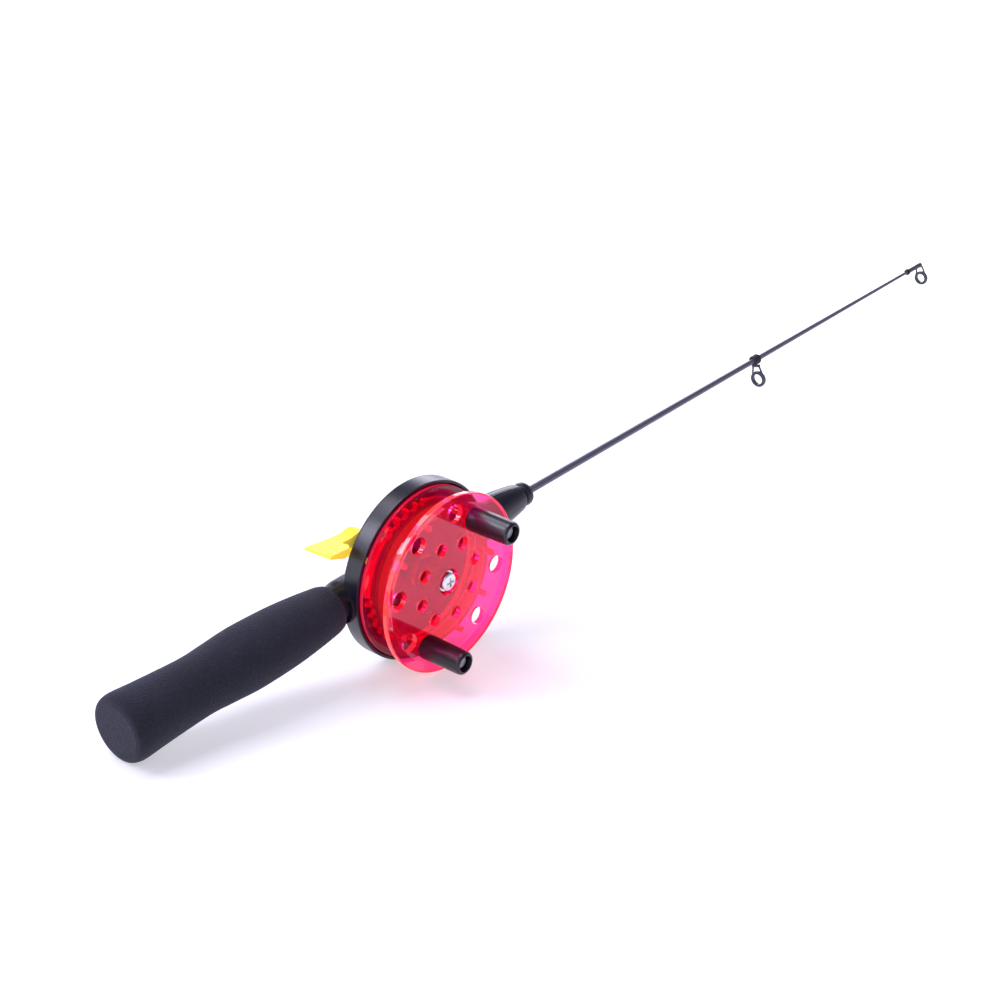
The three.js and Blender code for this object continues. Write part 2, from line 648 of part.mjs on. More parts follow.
function blankR(x) {
  const start = x < BLANK_MID_X ? [blankRootX, BLANK_ROOT_R] : [BLANK_MID_X, BLANK_MID_R];
  const end = x < BLANK_MID_X ? [BLANK_MID_X, BLANK_MID_R] : [TIP_X, BLANK_TIP_R];
  return THREE.MathUtils.mapLinear(x, start[0], end[0], start[1], end[1]);
}

function ferrule() {
  const hole = blankR(noseEndX) + GAP;
  const neckEnd = beadX + BEAD_NECK_W;
  const end = neckEnd + BEAD_W;
  return latheX([
    [ferruleRootX, 0], [ferruleRootX, FERRULE_R], [beadX, FERRULE_R], [beadX, BEAD_NECK_R],
    [neckEnd, BEAD_NECK_R], [neckEnd + 0.6, BEAD_R - 0.2], [neckEnd + BEAD_W / 2, BEAD_R],
    [end - 0.7, BEAD_R - 0.4], [end, BEAD_R - 1.3], [end, hole], [blankRootX - GAP, hole],
    [blankRootX - GAP, 0]
  ], 28);
}

function blank() {
  const end = TIP_X - 1;
  return latheX([[blankRootX, 0], [blankRootX, BLANK_ROOT_R], [BLANK_MID_X, BLANK_MID_R],
    [end, blankR(end)], [end, 0]], 12);
}

// ---------------------------------------------------------------- line guides

// Guides are made hanging under the rod axis, then rolled about it.
function rolled(body) {
  return body.translate([0, -axisY, 0]).rotate([-GUIDE_ROLL, 0, 0]).translate([0, axisY, 0]);
}

function washerX(x, drop, outer, inner, thickness, segments = 28) {
  const [x0, x1] = [x - thickness / 2, x + thickness / 2];
  const outline = [[x0, inner], [x0, outer - 0.25], [x, outer], [x1, outer - 0.25], [x1, inner],
    [x0, inner]];
  return latheX(outline, segments).translate([0, 0, -drop]);
}

function guideRing(x, drop, radius) {
  return washerX(x, drop, radius, radius - GUIDE_RING_WALL, GUIDE_RING_T);
}

function guideInsert(x, drop, radius) {
  const outer = radius - GUIDE_RING_WALL - GAP;
  return rolled(washerX(x, drop, outer, outer - INSERT_WALL, INSERT_T));
}

function strut(from, to) {
  const line = new THREE.LineCurve3(new THREE.Vector3(...from), new THREE.Vector3(...to));
  return wire(line, GUIDE_WIRE_R, 1);
}

// Two wires from a foot at (x, z) spread to the sides of the ring.
function guideLegs(x, footZ, drop, radius) {
  const reach = radius - GUIDE_RING_WALL / 2;
  return [-1, 1].map(side => strut([x, axisY + side * LEG_FOOT, footZ],
    [x, axisY + side * reach * 0.78, -drop + reach * 0.62]));
}

function midSleeve() {
  const half = MID_SLEEVE_L / 2;
  const hole = blankR(MID_GUIDE_X) + GAP;
  const [x, r] = [MID_GUIDE_X, MID_SLEEVE_R];
  return latheX([[x - half, hole], [x - half, r - 0.6], [x - half * 0.8, r], [x - half * 0.3, r],
    [x, r - 0.5], [x + half * 0.3, r], [x + half * 0.8, r], [x + half, r - 0.6], [x + half, hole],
    [x - half, hole]], 20);
}

function midFrame() {
  const ring = guideRing(MID_GUIDE_X, MID_GUIDE_DROP, MID_RING_R);
  const foot = -MID_SLEEVE_R - GAP;
  const side = LEG_FOOT + GUIDE_WIRE_R;
  const half = MID_SLEEVE_L / 5;
  const bridge = box(MID_GUIDE_X - half, MID_GUIDE_X + half, axisY - side, axisY + side, foot - 0.7, foot);
  return rolled(join(ring, bridge, ...guideLegs(MID_GUIDE_X, foot - 0.3, MID_GUIDE_DROP, MID_RING_R)));
}

const tipRingX = TIP_X - 1.4;
const tipTubeX = TIP_X - TIP_TUBE_L;
const tipTubeR = blankR(tipTubeX) + GAP + TIP_TUBE_WALL;

function tipFrame() {
  const start = tipTubeX;
  const hole = blankR(start) + GAP;
  const tube = latheX([[start, hole], [start, tipTubeR], [TIP_X - 0.6, tipTubeR],
    [TIP_X, tipTubeR - 0.4], [TIP_X, 0], [TIP_X - 0.7, 0], [TIP_X - 0.7, hole], [start, hole]],
    SEG_SMALL);
  const ring = guideRing(tipRingX, TIP_GUIDE_DROP, TIP_RING_R);
  const side = LEG_FOOT + GUIDE_WIRE_R;
  const bridge = box(tipRingX - 0.5, tipRingX + 0.5, axisY - side, axisY + side,
    -tipTubeR, -hole - TIP_TUBE_WALL / 2);
  return rolled(join(tube, ring, bridge, ...guideLegs(tipRingX, -0.8, TIP_GUIDE_DROP, TIP_RING_R)));
}

function tipBead() {
  const end = tipTubeX - GAP;
  const start = end - TIP_BEAD_L;
  const hole = blankR(start) + GAP;
  const rim = hole + TIP_BEAD_WALL;
  return latheX([[start, hole], [start, rim - 0.4], [(start + end) / 2, rim], [end, rim - 0.4],
    [end, hole], [start, hole]], SEG_SMALL);
}

// ---------------------------------------------------------------- assembly

const rod = new THREE.Group();

function piece(name, body, material) {
  const { vertProperties, triVerts } = body.getMesh();
  const geometry = new THREE.BufferGeometry();
  geometry.setAttribute('position', new THREE.BufferAttribute(vertProperties, 3));
  geometry.setIndex(new THREE.BufferAttribute(triVerts, 1));
  geometry.computeVertexNormals();
  const mesh = new THREE.Mesh(geometry, material);
  mesh.name = name;
  rod.add(mesh);
}

const gripProfile = gripOutline();
const knobPlaces = circlePlaces(KNOB_COUNT, KNOB_PCR, KNOB_TURN);

piece('handle_grip', grip(gripProfile), foam);
piece('handle_core', handleCore(), innerPlastic);
piece('body_front', bodyFront(), blackShell);
piece('rear_cover', rearCover(), blackShell);
coverScrewPlaces.forEach((place, i) => piece(`cover_screw_${i + 1}`, coverScrew(place), steel));

piece('spool_drum', spoolDrum(), spoolRed);
piece('spool_front_flange', frontFlange(), spoolRed);
piece('axle_bush', bush(), brass);
piece('spool_axle', axle(), steel);
piece('axle_nut', axleNut(), steel);
piece('axle_washer', washer(), steel);
piece('axle_screw', axleScrew(), steel);
knobPlaces.forEach((place, i) => {
  piece(`knob_${i + 1}`, knob(place), knobBlack);
  piece(`knob_pin_${i + 1}`, knobPin(place), darkSteel);
});

piece('brake_lever', brakeLever(), leverYellow);
piece('lever_pin', leverPin(), steel);
piece('lever_spring', leverSpring(), steel);

piece('ferrule', ferrule(), guideBlack);
piece('rod_blank', blank(), blankCarbon);
piece('mid_guide_sleeve', midSleeve(), rubber);
piece('mid_guide_frame', midFrame(), guideBlack);
piece('mid_guide_insert', guideInsert(MID_GUIDE_X, MID_GUIDE_DROP, MID_RING_R), insertCeramic);
piece('tip_guide_frame', tipFrame(), guideBlack);
piece('tip_guide_insert', guideInsert(tipRingX, TIP_GUIDE_DROP, TIP_RING_R), insertCeramic);
piece('tip_bead', tipBead(), rubber);

// The rod lies on the housing's rim and on the grip's end: the lean at which the first point of
// the grip's outline comes down to the plane under the housing.
const lean = Math.min(...gripProfile.map(([x, r]) => {
  const below = r + HANDLE_DROP;
  return Math.asin(housingR / Math.hypot(x, below)) - Math.atan2(below, -x);
}));
rod.rotation.y = -lean;

const part = new THREE.Group();
part.add(rod);
part.updateMatrixWorld(true);
const extent = new THREE.Box3().setFromObject(rod, true);
const middle = extent.getCenter(new THREE.Vector3());
rod.position.set(-middle.x, -middle.y, -extent.min.z);
part.updateMatrixWorld(true);

export default part;
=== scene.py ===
"""Ice fishing rod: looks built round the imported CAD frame.

Pieces are modelled in the rod's own frame, in millimetres: +X along the blank, +Y along the reel's
axis from its open front to its back, origin in the middle of the front plate. Each finished piece
is then placed in the row frame, in metres.
"""

import json
import math

import bpy
from mathutils import Matrix, Vector


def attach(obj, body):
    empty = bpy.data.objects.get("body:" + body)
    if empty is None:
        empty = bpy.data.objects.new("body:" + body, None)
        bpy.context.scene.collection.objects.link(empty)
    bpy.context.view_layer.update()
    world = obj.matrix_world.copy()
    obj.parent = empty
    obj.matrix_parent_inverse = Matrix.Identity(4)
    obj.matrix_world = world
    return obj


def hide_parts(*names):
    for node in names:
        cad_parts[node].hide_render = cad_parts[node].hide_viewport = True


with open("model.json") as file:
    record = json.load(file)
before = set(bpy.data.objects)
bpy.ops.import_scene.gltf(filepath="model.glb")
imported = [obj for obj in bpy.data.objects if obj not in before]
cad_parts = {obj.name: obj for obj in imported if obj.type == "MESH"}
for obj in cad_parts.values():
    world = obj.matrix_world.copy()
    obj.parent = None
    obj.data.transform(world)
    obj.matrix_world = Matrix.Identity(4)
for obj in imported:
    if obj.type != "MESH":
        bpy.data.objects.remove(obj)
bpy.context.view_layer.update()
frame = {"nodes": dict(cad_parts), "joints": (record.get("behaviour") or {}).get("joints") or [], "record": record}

# ---------------------------------------------------------------- places

mounts = {mount["name"]: mount for mount in frame["record"]["mounts"]}
joints = {joint["name"]: joint for joint in frame["joints"]}
ALONG = -Vector(mounts["grip_end"]["axis"]).normalized()
ACROSS = Vector((0, 1, 0))
UP = ALONG.cross(ACROSS)
REEL_CENTRE = Vector(joints["spool_spin"]["pos_m"])
MM = 0.001
ROD_TURN = Matrix((ALONG, ACROSS, UP)).transposed()
ROD = Matrix.Translation(REEL_CENTRE) @ ROD_TURN.to_4x4() @ Matrix.Scale(MM, 4)

# ---------------------------------------------------------------- sizes, in millimetres

GAP = 0.3
AXIS_Y = 24.0  # the blank's axis behind the front plate
HANDLE_DROP = 1.3

FLANGE_R, FLANGE_T, RIM_RISE, RIM_W = 37.5, 2.2, 1.7, 4.0
OUTER_HOLE_R, OUTER_HOLE_PCR, HOLE_TURN = 3.8, 28.9, 35.6
INNER_HOLE_R, INNER_HOLE_PCR, CENTRE_HOLE_R = 2.8, 16.2, 5.5
HUB_R, HUB_WALL, DRUM_FRONT, BACK_FLANGE_Y = 29.0, 1.8, 2.5, 12.0
BACK_FLANGE_R, WEB_BACK, RATCHET_BACK = 36.0, 14.0, 16.4
BOSS_R, BUSH_R, BUSH_FRONT = 7.2, 4.0, 2.2
NOTCHES, NOTCH_DEPTH, NOTCH_ARC = 10, 3.5, 31.0
TEETH, RATCHET_R, TOOTH = 36, 31.0, 1.8
KNOB_PCR, KNOB_TURN, KNOB_L, KNOB_R = 26.8, 57.2, 20.5, 4.9
KNOB_RECESS, KNOB_RECESS_R = 3.8, 3.3
PIN_R, PIN_BORE_R, PIN_HEAD_R = 1.8, 2.1, 2.6
PAN_IN_R, PAN_R, LIP_Y, PAN_FLOOR, PAN_BACK = 36.6, 37.8, 14.05, 20.65, 22.15
NECK_END, NECK_R, NECK_FLARE_R = -42.0, 8.2, 9.0
SPINE_R, NOSE_ROOT, NOSE_END = 8.7, 42.0, 71.0
COVER_R, COVER_Y, COVER_BACK = 24.2, 22.45, 29.55
COVER_SCREW_TURN, COVER_SCREW_PCR = 48.0, 18.3
PIVOT_R, PIVOT_TURN = 28.74, 140.0
LEVER_Y, LEVER_W = 24.15, 6.0
BLANK_ROOT, BLANK_MID, TIP = 48.0, 262.0, 417.4
BLANK_ROOT_R, BLANK_MID_R, BLANK_TIP_R = 1.72, 1.28, 0.72
SLEEVE_R = 2.5
GUIDE_ROLL = 15.0
GUIDE_WIRE_R, GUIDE_RING_T, GUIDE_LINING_T, LEG_SPREAD = 0.45, 1.5, 1.7, 1.5
SADDLE_SIDE = LEG_SPREAD + GUIDE_WIRE_R
CORE_BORE_R, CORE_PLUG_END, FERRULE_BORE_R, FERRULE_L = 6.5, -34.2, 3.3, 25.0
SCREW_HOLE_R, POST_R, PIVOT_BORE_R = 1.6, 2.8, 1.8
AXLE_BORE_R, AXLE_BOSS_R, LANE_R = 2.8, 6.0, 6.7
MID_GUIDE = {"x": 253.7, "drop": 9.8, "radius": 4.1, "foot": 2.8}
TIP_GUIDE = {"x": 416.0, "drop": 7.2, "radius": 3.8, "foot": 0.8}

PIVOT_X = PIVOT_R * math.cos(math.radians(PIVOT_TURN))
PIVOT_Z = PIVOT_R * math.sin(math.radians(PIVOT_TURN))
PIVOT = (PIVOT_X, 0, PIVOT_Z)


def circle_places(count, radius, first):
    """Points evenly round the reel's axis, as (turn, x, z)."""
    turns = [math.radians(first + i * 360 / count) for i in range(count)]
    return [(t, radius * math.cos(t), radius * math.sin(t)) for t in turns]


# ---------------------------------------------------------------- modelling

AXES = {"X": Vector((1, 0, 0)), "Y": Vector((0, 1, 0)), "Z": Vector((0, 0, 1))}
RING_TURN = {"X": (0, math.pi / 2, 0), "Y": (-math.pi / 2, 0, 0), "Z": (0, 0, 0)}


def deselect_all():
    if bpy.context.mode != "OBJECT":
        bpy.ops.object.mode_set(mode="OBJECT")
    bpy.ops.object.select_all(action="DESELECT")


def pick(piece):
    deselect_all()
    piece.select_set(True)
    bpy.context.view_layer.objects.active = piece
    return piece


def named(name):
    piece = bpy.context.object
    piece.name = name
    piece.data.name = name
    return piece


def tidy_mesh(piece, distance=0.002):
    """Joins doubled corners and turns every face outwards."""
    pick(piece)
    bpy.ops.object.mode_set(mode="EDIT")
    bpy.ops.mesh.select_all(action="SELECT")
    bpy.ops.mesh.remove_doubles(threshold=distance)
    bpy.ops.mesh.normals_make_consistent(inside=False)
    bpy.ops.object.mode_set(mode="OBJECT")
    return piece


def round_piece(name, outline, axis="Y", centre=(0, 0, 0), sides=96, hollow=False):
    """A turned piece. The outline is a list of (place along the axis, radius).

    A hollow one's outline comes back to its first point."""
    direction = AXES[axis]
    start, radius = outline[0]
    middle = Vector(centre) + direction * start
    deselect_all()
    bpy.ops.mesh.primitive_circle_add(
        vertices=sides,
        radius=radius,
        fill_type="NOTHING" if hollow else "NGON",
        location=middle,
        rotation=RING_TURN[axis],
    )
    piece = named(name)
    bpy.ops.object.transform_apply(location=True, rotation=True, scale=True)
    bpy.ops.object.mode_set(mode="EDIT")
    bpy.ops.mesh.select_all(action="SELECT")
    for along, next_radius in outline[1:]:
        step = direction * (along - start)
        bpy.ops.mesh.extrude_region_move(TRANSFORM_OT_translate={"value": step})
        middle = middle + step
        if abs(next_radius - radius) > 1e-6:
            share = next_radius / radius
            bpy.ops.transform.resize(value=(share,) * 3, center_override=middle)
        start, radius = along, next_radius
    bpy.ops.object.mode_set(mode="OBJECT")
    return tidy_mesh(piece)


def rod_piece(name, radius, low, high, axis="Y", centre=(0, 0, 0), sides=40):
    return round_piece(name, [(low, radius), (high, radius)], axis, centre, sides)


def block(name, low, high, turn=0.0):
    """A block between two corners, turned about the reel's axis."""
    low, high = Vector(low), Vector(high)
    deselect_all()
    bpy.ops.mesh.primitive_cube_add(size=1, location=(low + high) / 2)
    piece = named(name)
    piece.scale = high - low
    bpy.ops.object.transform_apply(location=True, rotation=True, scale=True)
    if turn:
        piece.rotation_euler = (0, -turn, 0)
        bpy.ops.object.transform_apply(location=True, rotation=True, scale=True)
    return piece


def plate_piece(name, points, axis, low, high):
    """An outline extruded along an axis: points are (x, z) for Y, and (x, y) for Z."""
    deselect_all()
    bpy.ops.mesh.primitive_circle_add(vertices=len(points), radius=1, fill_type="NGON")
    piece = named(name)
    for corner, (u, v) in zip(piece.data.vertices, points):
        corner.co = (u, low, v) if axis == "Y" else (u, v, low)
    bpy.ops.object.mode_set(mode="EDIT")
    bpy.ops.mesh.select_all(action="SELECT")
    step = AXES[axis] * (high - low)
    bpy.ops.mesh.extrude_region_move(TRANSFORM_OT_translate={"value": step})
    bpy.ops.object.mode_set(mode="OBJECT")
    return tidy_mesh(piece)


def joined(name, pieces):
    """Several loose shapes as one object."""
    deselect_all()
    for piece in pieces:
        piece.select_set(True)
    bpy.context.view_layer.objects.active = pieces[0]
    if len(pieces) > 1:
        bpy.ops.object.join()
    return named(name)


def combine(piece, others, operation):
    """Cuts, adds or keeps what is shared with other shapes, which are used up."""
    for other in others:
        pick(piece)
        change = piece.modifiers.new("combine", "BOOLEAN")
        change.operation = operation
        change.solver = "EXACT"
        change.object = other
        bpy.ops.object.modifier_apply(modifier=change.name)
        bpy.data.objects.remove(other, do_unlink=True)
    return piece


def cut(piece, *others):
    return combine(piece, [joined("cutter", list(others))], "DIFFERENCE")


def add(piece, *others):
    return combine(piece, others, "UNION")


def bisect(piece, y, clear_back):
    """Keeps one side of a plane across the reel's axis."""
    pick(piece)
    bpy.ops.object.mode_set(mode="EDIT")
    bpy.ops.mesh.select_all(action="SELECT")
    bpy.ops.mesh.bisect(
        plane_co=(0, y, 0),
        plane_no=(0, 1, 0),
        use_fill=True,
        clear_inner=not clear_back,
        clear_outer=clear_back,
    )
    bpy.ops.object.mode_set(mode="OBJECT")
    return piece


def smooth(piece, angle=40.0):
    """Smooth shading over round faces, with the large flat ones kept flat."""
    pick(piece)
    bpy.ops.object.shade_smooth_by_angle(angle=math.radians(angle))
    flats = piece.modifiers.new("flats", "WEIGHTED_NORMAL")
    flats.keep_sharp = True
    flats.weight = 100
    bpy.ops.object.modifier_apply(modifier=flats.name)
    return piece


def soften(piece, width, segments=2, angle=32.0):
    """Rounds the sharp edges a little, as a mould or a tool leaves them."""
    pick(piece)
    edge = piece.modifiers.new("edges", "BEVEL")
    edge.width = width
    edge.segments = segments
    edge.limit_method = "ANGLE"
    edge.angle_limit = math.radians(angle)
    edge.harden_normals = False
    bpy.ops.object.modifier_apply(modifier=edge.name)
    return smooth(piece)


def smooth_line(knots, steps):
    """Points on a smooth curve through the knots."""
    points = []
    for i in range(len(knots) - 1):
        a, b, c, d = (
            Vector(knots[min(max(k, 0), len(knots) - 1)]) for k in range(i - 1, i + 3)
        )
        for step in range(steps):
            t = step / steps
            point = (
                b * 2
                + (c - a) * t
                + (a * 2 - b * 5 + c * 4 - d) * t * t
                + (b * 3 - a - c * 3 + d) * t**3
            ) / 2
            points.append((point.x, point.y))
    return [*points, tuple(knots[-1])]


def finish_piece(piece, body, finish, stands_for=()):
    """Places a modelled piece in the row frame, and says what it rides on and stands for."""
    pick(piece)
    piece.matrix_world = ROD
    bpy.ops.object.transform_apply(location=True, rotation=True, scale=True)
    piece.data.materials.clear()
    piece.data.materials.append(finish.material)
    if stands_for:
        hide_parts(*stands_for)
    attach(piece, body)
    return piece


# ---------------------------------------------------------------- shader maths


class Amount:
    """A number, colour or vector that a material's nodes work out."""

    def __init__(self, finish, socket):
        self.finish = finish
        self.socket = socket

    def maths(self, operation, *values):
        inputs = dict(enumerate(values))
        return self.finish.node("ShaderNodeMath", {"operation": operation}, inputs)

    def __add__(self, other):
        return self.maths("ADD", self, other)

    def __sub__(self, other):
        return self.maths("SUBTRACT", self, other)

    def __rsub__(self, other):
        return self.maths("SUBTRACT", other, self)

    def __mul__(self, other):
        return self.maths("MULTIPLY", self, other)

    def __pow__(self, other):
        return self.maths("POWER", self, other)

    def __abs__(self):
        return self.maths("ABSOLUTE", self)

    __radd__ = __add__

    def below(self, edge, width):
        """1 below the edge, 0 above it, and a smooth step of that width between."""
        return 1 - self.above(edge, width)

    def above(self, edge, width):
        return self.finish.node(
            "ShaderNodeMapRange",
            {"interpolation_type": "SMOOTHSTEP"},
            {"Value": self, "From Min": edge - width / 2, "From Max": edge + width / 2},
        )


class Finish:
    """A material made of nodes round one Principled shader."""

    def __init__(self, name, **constants):
        self.material = bpy.data.materials.new(name)
        self.material.use_nodes = True
        self.tree = self.material.node_tree
        self.tree.nodes.clear()
        self.shader = self.tree.nodes.new("ShaderNodeBsdfPrincipled")
        self.output = self.tree.nodes.new("ShaderNodeOutputMaterial")
        self.tree.links.new(self.shader.outputs[0], self.output.inputs["Surface"])
        self.set(**constants)
        self.place = self.node("ShaderNodeTexCoord", output="Object")

    def set(self, **values):
        """Sets or links the shader's sockets; an underscore stands for a space."""
        for name, value in values.items():
            self.put(self.shader.inputs[name.replace("_", " ")], value)

    def put(self, socket, value):
        if isinstance(value, Amount):
            self.tree.links.new(value.socket, socket)
        elif isinstance(value, (tuple, list)) and len(value) == 3 and socket.type == "RGBA":
            socket.default_value = (*value, 1)
        else:
            socket.default_value = value

    def node(self, kind, settings=None, inputs=None, output=0):
        made = self.tree.nodes.new(kind)
        for name, value in (settings or {}).items():
            setattr(made, name, value)
        for name, value in (inputs or {}).items():
            self.put(made.inputs[name], value)
        return Amount(self, made.outputs[output])

    def noise(self, scale, detail=2.0, roughness=0.5, place=None):
        inputs = {
            "Vector": place or self.place,
            "Scale": scale,
            "Detail": detail,
            "Roughness": roughness,
        }
        return self.node("ShaderNodeTexNoise", None, inputs)

    def stretched(self, along):
        """Object coordinates turned to the rod's frame and drawn out along it."""
        turn = Matrix((ALONG, ACROSS, UP)).to_euler()
        turned = self.node(
            "ShaderNodeMapping", None, {"Vector": self.place, "Rotation": tuple(turn)}
        )
        scale = {"Vector": turned, "Scale": (1 / along, 1.0, 1.0)}
        return self.node("ShaderNodeMapping", None, scale)

    def mix(self, share, first, second):
        settings = {"data_type": "RGBA"}
        return self.node("ShaderNodeMix", settings, {0: share, 6: first, 7: second}, output=2)

    def dot(self, vector, direction):
        settings = {"operation": "DOT_PRODUCT"}
        inputs = {0: vector, 1: tuple(direction)}
        return self.node("ShaderNodeVectorMath", settings, inputs, output="Value")

    def bump(self, height, strength, distance):
        inputs = {"Height": height, "Strength": strength, "Distance": distance}
        self.set(Normal=self.node("ShaderNodeBump", None, inputs))

    def from_centre(self, centre, direction):
        """Distance of a point along a direction from a centre, in millimetres."""
        flat = self.dot(self.place, Vector(direction) / MM)
        return flat - Vector(centre).dot(Vector(direction)) / MM


# ---------------------------------------------------------------- finishes

foam = Finish("charcoal_foam", Roughness=0.92, Specular_IOR_Level=0.25)
pores = foam.node(
    "ShaderNodeTexVoronoi",
    {"feature": "F1"},
    {"Vector": foam.place, "Scale": 1500.0, "Randomness": 1.0},
    output="Distance",
)
fluff = foam.noise(1100.0, 4.0, 0.75)
clouds = foam.noise(70.0, 3.0, 0.6)
specks = foam.noise(1500.0, 1.0).above(0.74, 0.05)
foam_tone = (fluff - 0.5) * 1.6 + (clouds - 0.5) * 0.8 + 0.5
foam.set(
    Base_Color=foam.mix(
        specks * 0.35,
        foam.mix(foam_tone, (0.0085, 0.009, 0.015), (0.027, 0.0275, 0.042)),
        (0.085, 0.088, 0.105),
    ),
    Roughness=0.86 + clouds * 0.1,
)
foam.set(Sheen_Weight=0.12, Sheen_Roughness=0.5, Sheen_Tint=(0.75, 0.78, 0.95))
foam.bump(pores * 0.7 + fluff * 1.0, 0.8, 0.0003)


def moulded(name, dark, light, roughness, grain):
    """Black plastic with a fine spark-eroded grain and faint handling marks."""
    finish = Finish(name, Roughness=roughness, Specular_IOR_Level=0.5)
    fine = finish.noise(2400.0, 2.0, 0.6)
    wide = finish.noise(45.0, 3.0, 0.55)
    rub = finish.noise(220.0, 4.0, 0.7, finish.stretched(6.0)).above(0.66, 0.12)
    finish.set(
        Base_Color=finish.mix(wide, dark, light),
        Roughness=roughness + (wide - 0.5) * 0.08 - rub * 0.05 + (fine - 0.5) * 0.06,
    )
    finish.bump(fine, grain, 0.00006)
    return finish


shell = moulded("black_shell", (0.0055, 0.0055, 0.0115), (0.009, 0.009, 0.018), 0.3, 0.5)
ferrule_black = moulded("ferrule_black", (0.009, 0.0095, 0.014), (0.014, 0.0145, 0.02), 0.38, 0.35)
knob_black = moulded("knob_black", (0.004, 0.0028, 0.007), (0.0075, 0.005, 0.012), 0.34, 0.2)
knob_black.set(Coat_Weight=0.15, Coat_Roughness=0.3)
inner = moulded("inner_plastic", (0.016, 0.016, 0.019), (0.024, 0.024, 0.028), 0.5, 0.3)
rubber = moulded("sleeve_rubber", (0.006, 0.006, 0.008), (0.012, 0.012, 0.015), 0.62, 0.4)
guide_black = moulded("guide_frame", (0.045, 0.05, 0.065), (0.065, 0.072, 0.092), 0.3, 0.15)
ceramic = moulded("guide_insert", (0.05, 0.055, 0.075), (0.07, 0.076, 0.1), 0.2, 0.05)

lever_yellow = Finish("lever_yellow", Roughness=0.36, Specular_IOR_Level=0.45)
lever_yellow.set(
    Subsurface_Weight=0.35,
    Subsurface_Radius=(1.0, 0.62, 0.12),
    Subsurface_Scale=0.002,
)
flow = lever_yellow.noise(160.0, 3.0, 0.6)
skin = lever_yellow.noise(1800.0, 2.0, 0.6)
# The emission is a painted glow: it makes the whole lever brighter than the lamps alone light it.
lever_yellow.set(
    Base_Color=lever_yellow.mix(flow, (1.0, 0.72, 0.02), (1.0, 0.80, 0.06)),
    Roughness=0.33 + (flow - 0.5) * 0.1,
    Emission_Color=(1.0, 0.86, 0.12),
    Emission_Strength=0.22,
)
lever_yellow.bump(skin, 0.25, 0.00005)


def metal(name, colour, roughness, scratches):
    """Plated or turned metal with fine scratches and slight tarnish."""
    finish = Finish(name, Metallic=1.0)
    tarnish = finish.noise(380.0, 3.0, 0.6)
    scratch = finish.noise(1900.0, 3.0, 0.6, finish.stretched(9.0))
    finish.set(
        Base_Color=finish.mix(tarnish * 0.35, colour, tuple(c * 0.6 for c in colour)),
        Roughness=roughness + (tarnish - 0.5) * 0.12 + (scratch - 0.5) * 0.1,
    )
    finish.bump(scratch, scratches, 0.00002)
    return finish


screw_steel = metal("screw_steel", (0.82, 0.83, 0.86), 0.2, 0.3)
axle_steel = metal("axle_steel", (0.62, 0.63, 0.65), 0.3, 0.5)
pin_grey = metal("pin_grey", (0.4, 0.39, 0.43), 0.42, 0.4)
spring_steel = metal("spring_steel", (0.5, 0.5, 0.53), 0.32, 0.4)
bush_brass = metal("bush_brass", (0.72, 0.5, 0.2), 0.3, 0.4)

blank_finish = Finish(
    "blank_lacquer", Specular_IOR_Level=0.5, Coat_Weight=0.25, Coat_Roughness=0.25
)
fibre = blank_finish.noise(900.0, 3.0, 0.6, blank_finish.stretched(30.0))
wrap = blank_finish.noise(120.0, 2.0, 0.5)
blank_finish.set(
    Base_Color=blank_finish.mix(fibre * 0.6 + wrap * 0.4, (0.06, 0.06, 0.088), (0.11, 0.11, 0.15)),
    Roughness=0.36 + (fibre - 0.5) * 0.16,
)
blank_finish.bump(fibre, 0.25, 0.00004)


def clear_red(name, rim_r, clear_share, tint, painted_flat_glow, painted_rim_glow, painted_wall_glow):
    """Clear fluorescent plastic with a painted glow: emission stands in for the light it gathers, strongest at its
    rims and brighter on the upper walls that face the lamps, up and towards the handle.
    """
    finish = Finish(name, IOR=1.49, Specular_IOR_Level=0.5, Transmission_Weight=clear_share)
    u = finish.from_centre(REEL_CENTRE, ALONG)
    v = finish.from_centre(REEL_CENTRE, UP)
    radius = (u * u + v * v) ** 0.5
    normal = finish.node("ShaderNodeNewGeometry", output="True Normal")
    side = abs(finish.dot(normal, ACROSS)).below(0.5, 0.5)
    lit = finish.dot(normal, (UP - ALONG * 0.5).normalized()).above(0.25, 1.3)
    rim = radius.above(rim_r - 0.9, 0.8)
    outer = radius.above(BOSS_R + 2, 1.0)
    haze = finish.noise(260.0, 4.0, 0.65)
    # Painted light: outer walls facing up and towards the handle glow fully, all other walls at a tenth of that.
    wall = finish.mix(lit * outer, tuple(0.1 * c for c in painted_wall_glow), painted_wall_glow)
    finish.set(
        Base_Color=tint,
        Roughness=0.03 + haze.above(0.6, 0.3) * 0.05,
        Emission_Color=finish.mix(side, painted_flat_glow, finish.mix(rim, wall, painted_rim_glow)),
        Emission_Strength=1.0,
    )
    ripple = finish.noise(120.0, 2.0, 0.5)
    finish.bump(ripple, 0.03, 0.0002)
    clear = finish.node("ShaderNodeBsdfTransparent", None, {"Color": (0.95, 0.12, 0.42)})
    lamp_ray = finish.node("ShaderNodeLightPath", output="Is Shadow Ray")
    both = finish.node(
        "ShaderNodeMixShader",
        None,
        {0: lamp_ray, 1: Amount(finish, finish.shader.outputs[0]), 2: clear},
    )
    finish.tree.links.new(both.socket, finish.output.inputs["Surface"])
    return finish


# Painted glow colours after the tint: flat faces, rims, then the upper walls.
plate_red = clear_red(
    "spool_plate_red", FLANGE_R, 0.98, (1.0, 0.035, 0.3),
    (0.11, 0.0, 0.003), (0.9, 0.075, 0.05), (0.3, 0.008, 0.006),
)
drum_red = clear_red(
    "spool_drum_red", BACK_FLANGE_R, 0.97, (0.9, 0.02, 0.22),
    (0.012, 0.0, 0.001), (0.42, 0.008, 0.04), (0.24, 0.006, 0.003),
)

# ---------------------------------------------------------------- grip

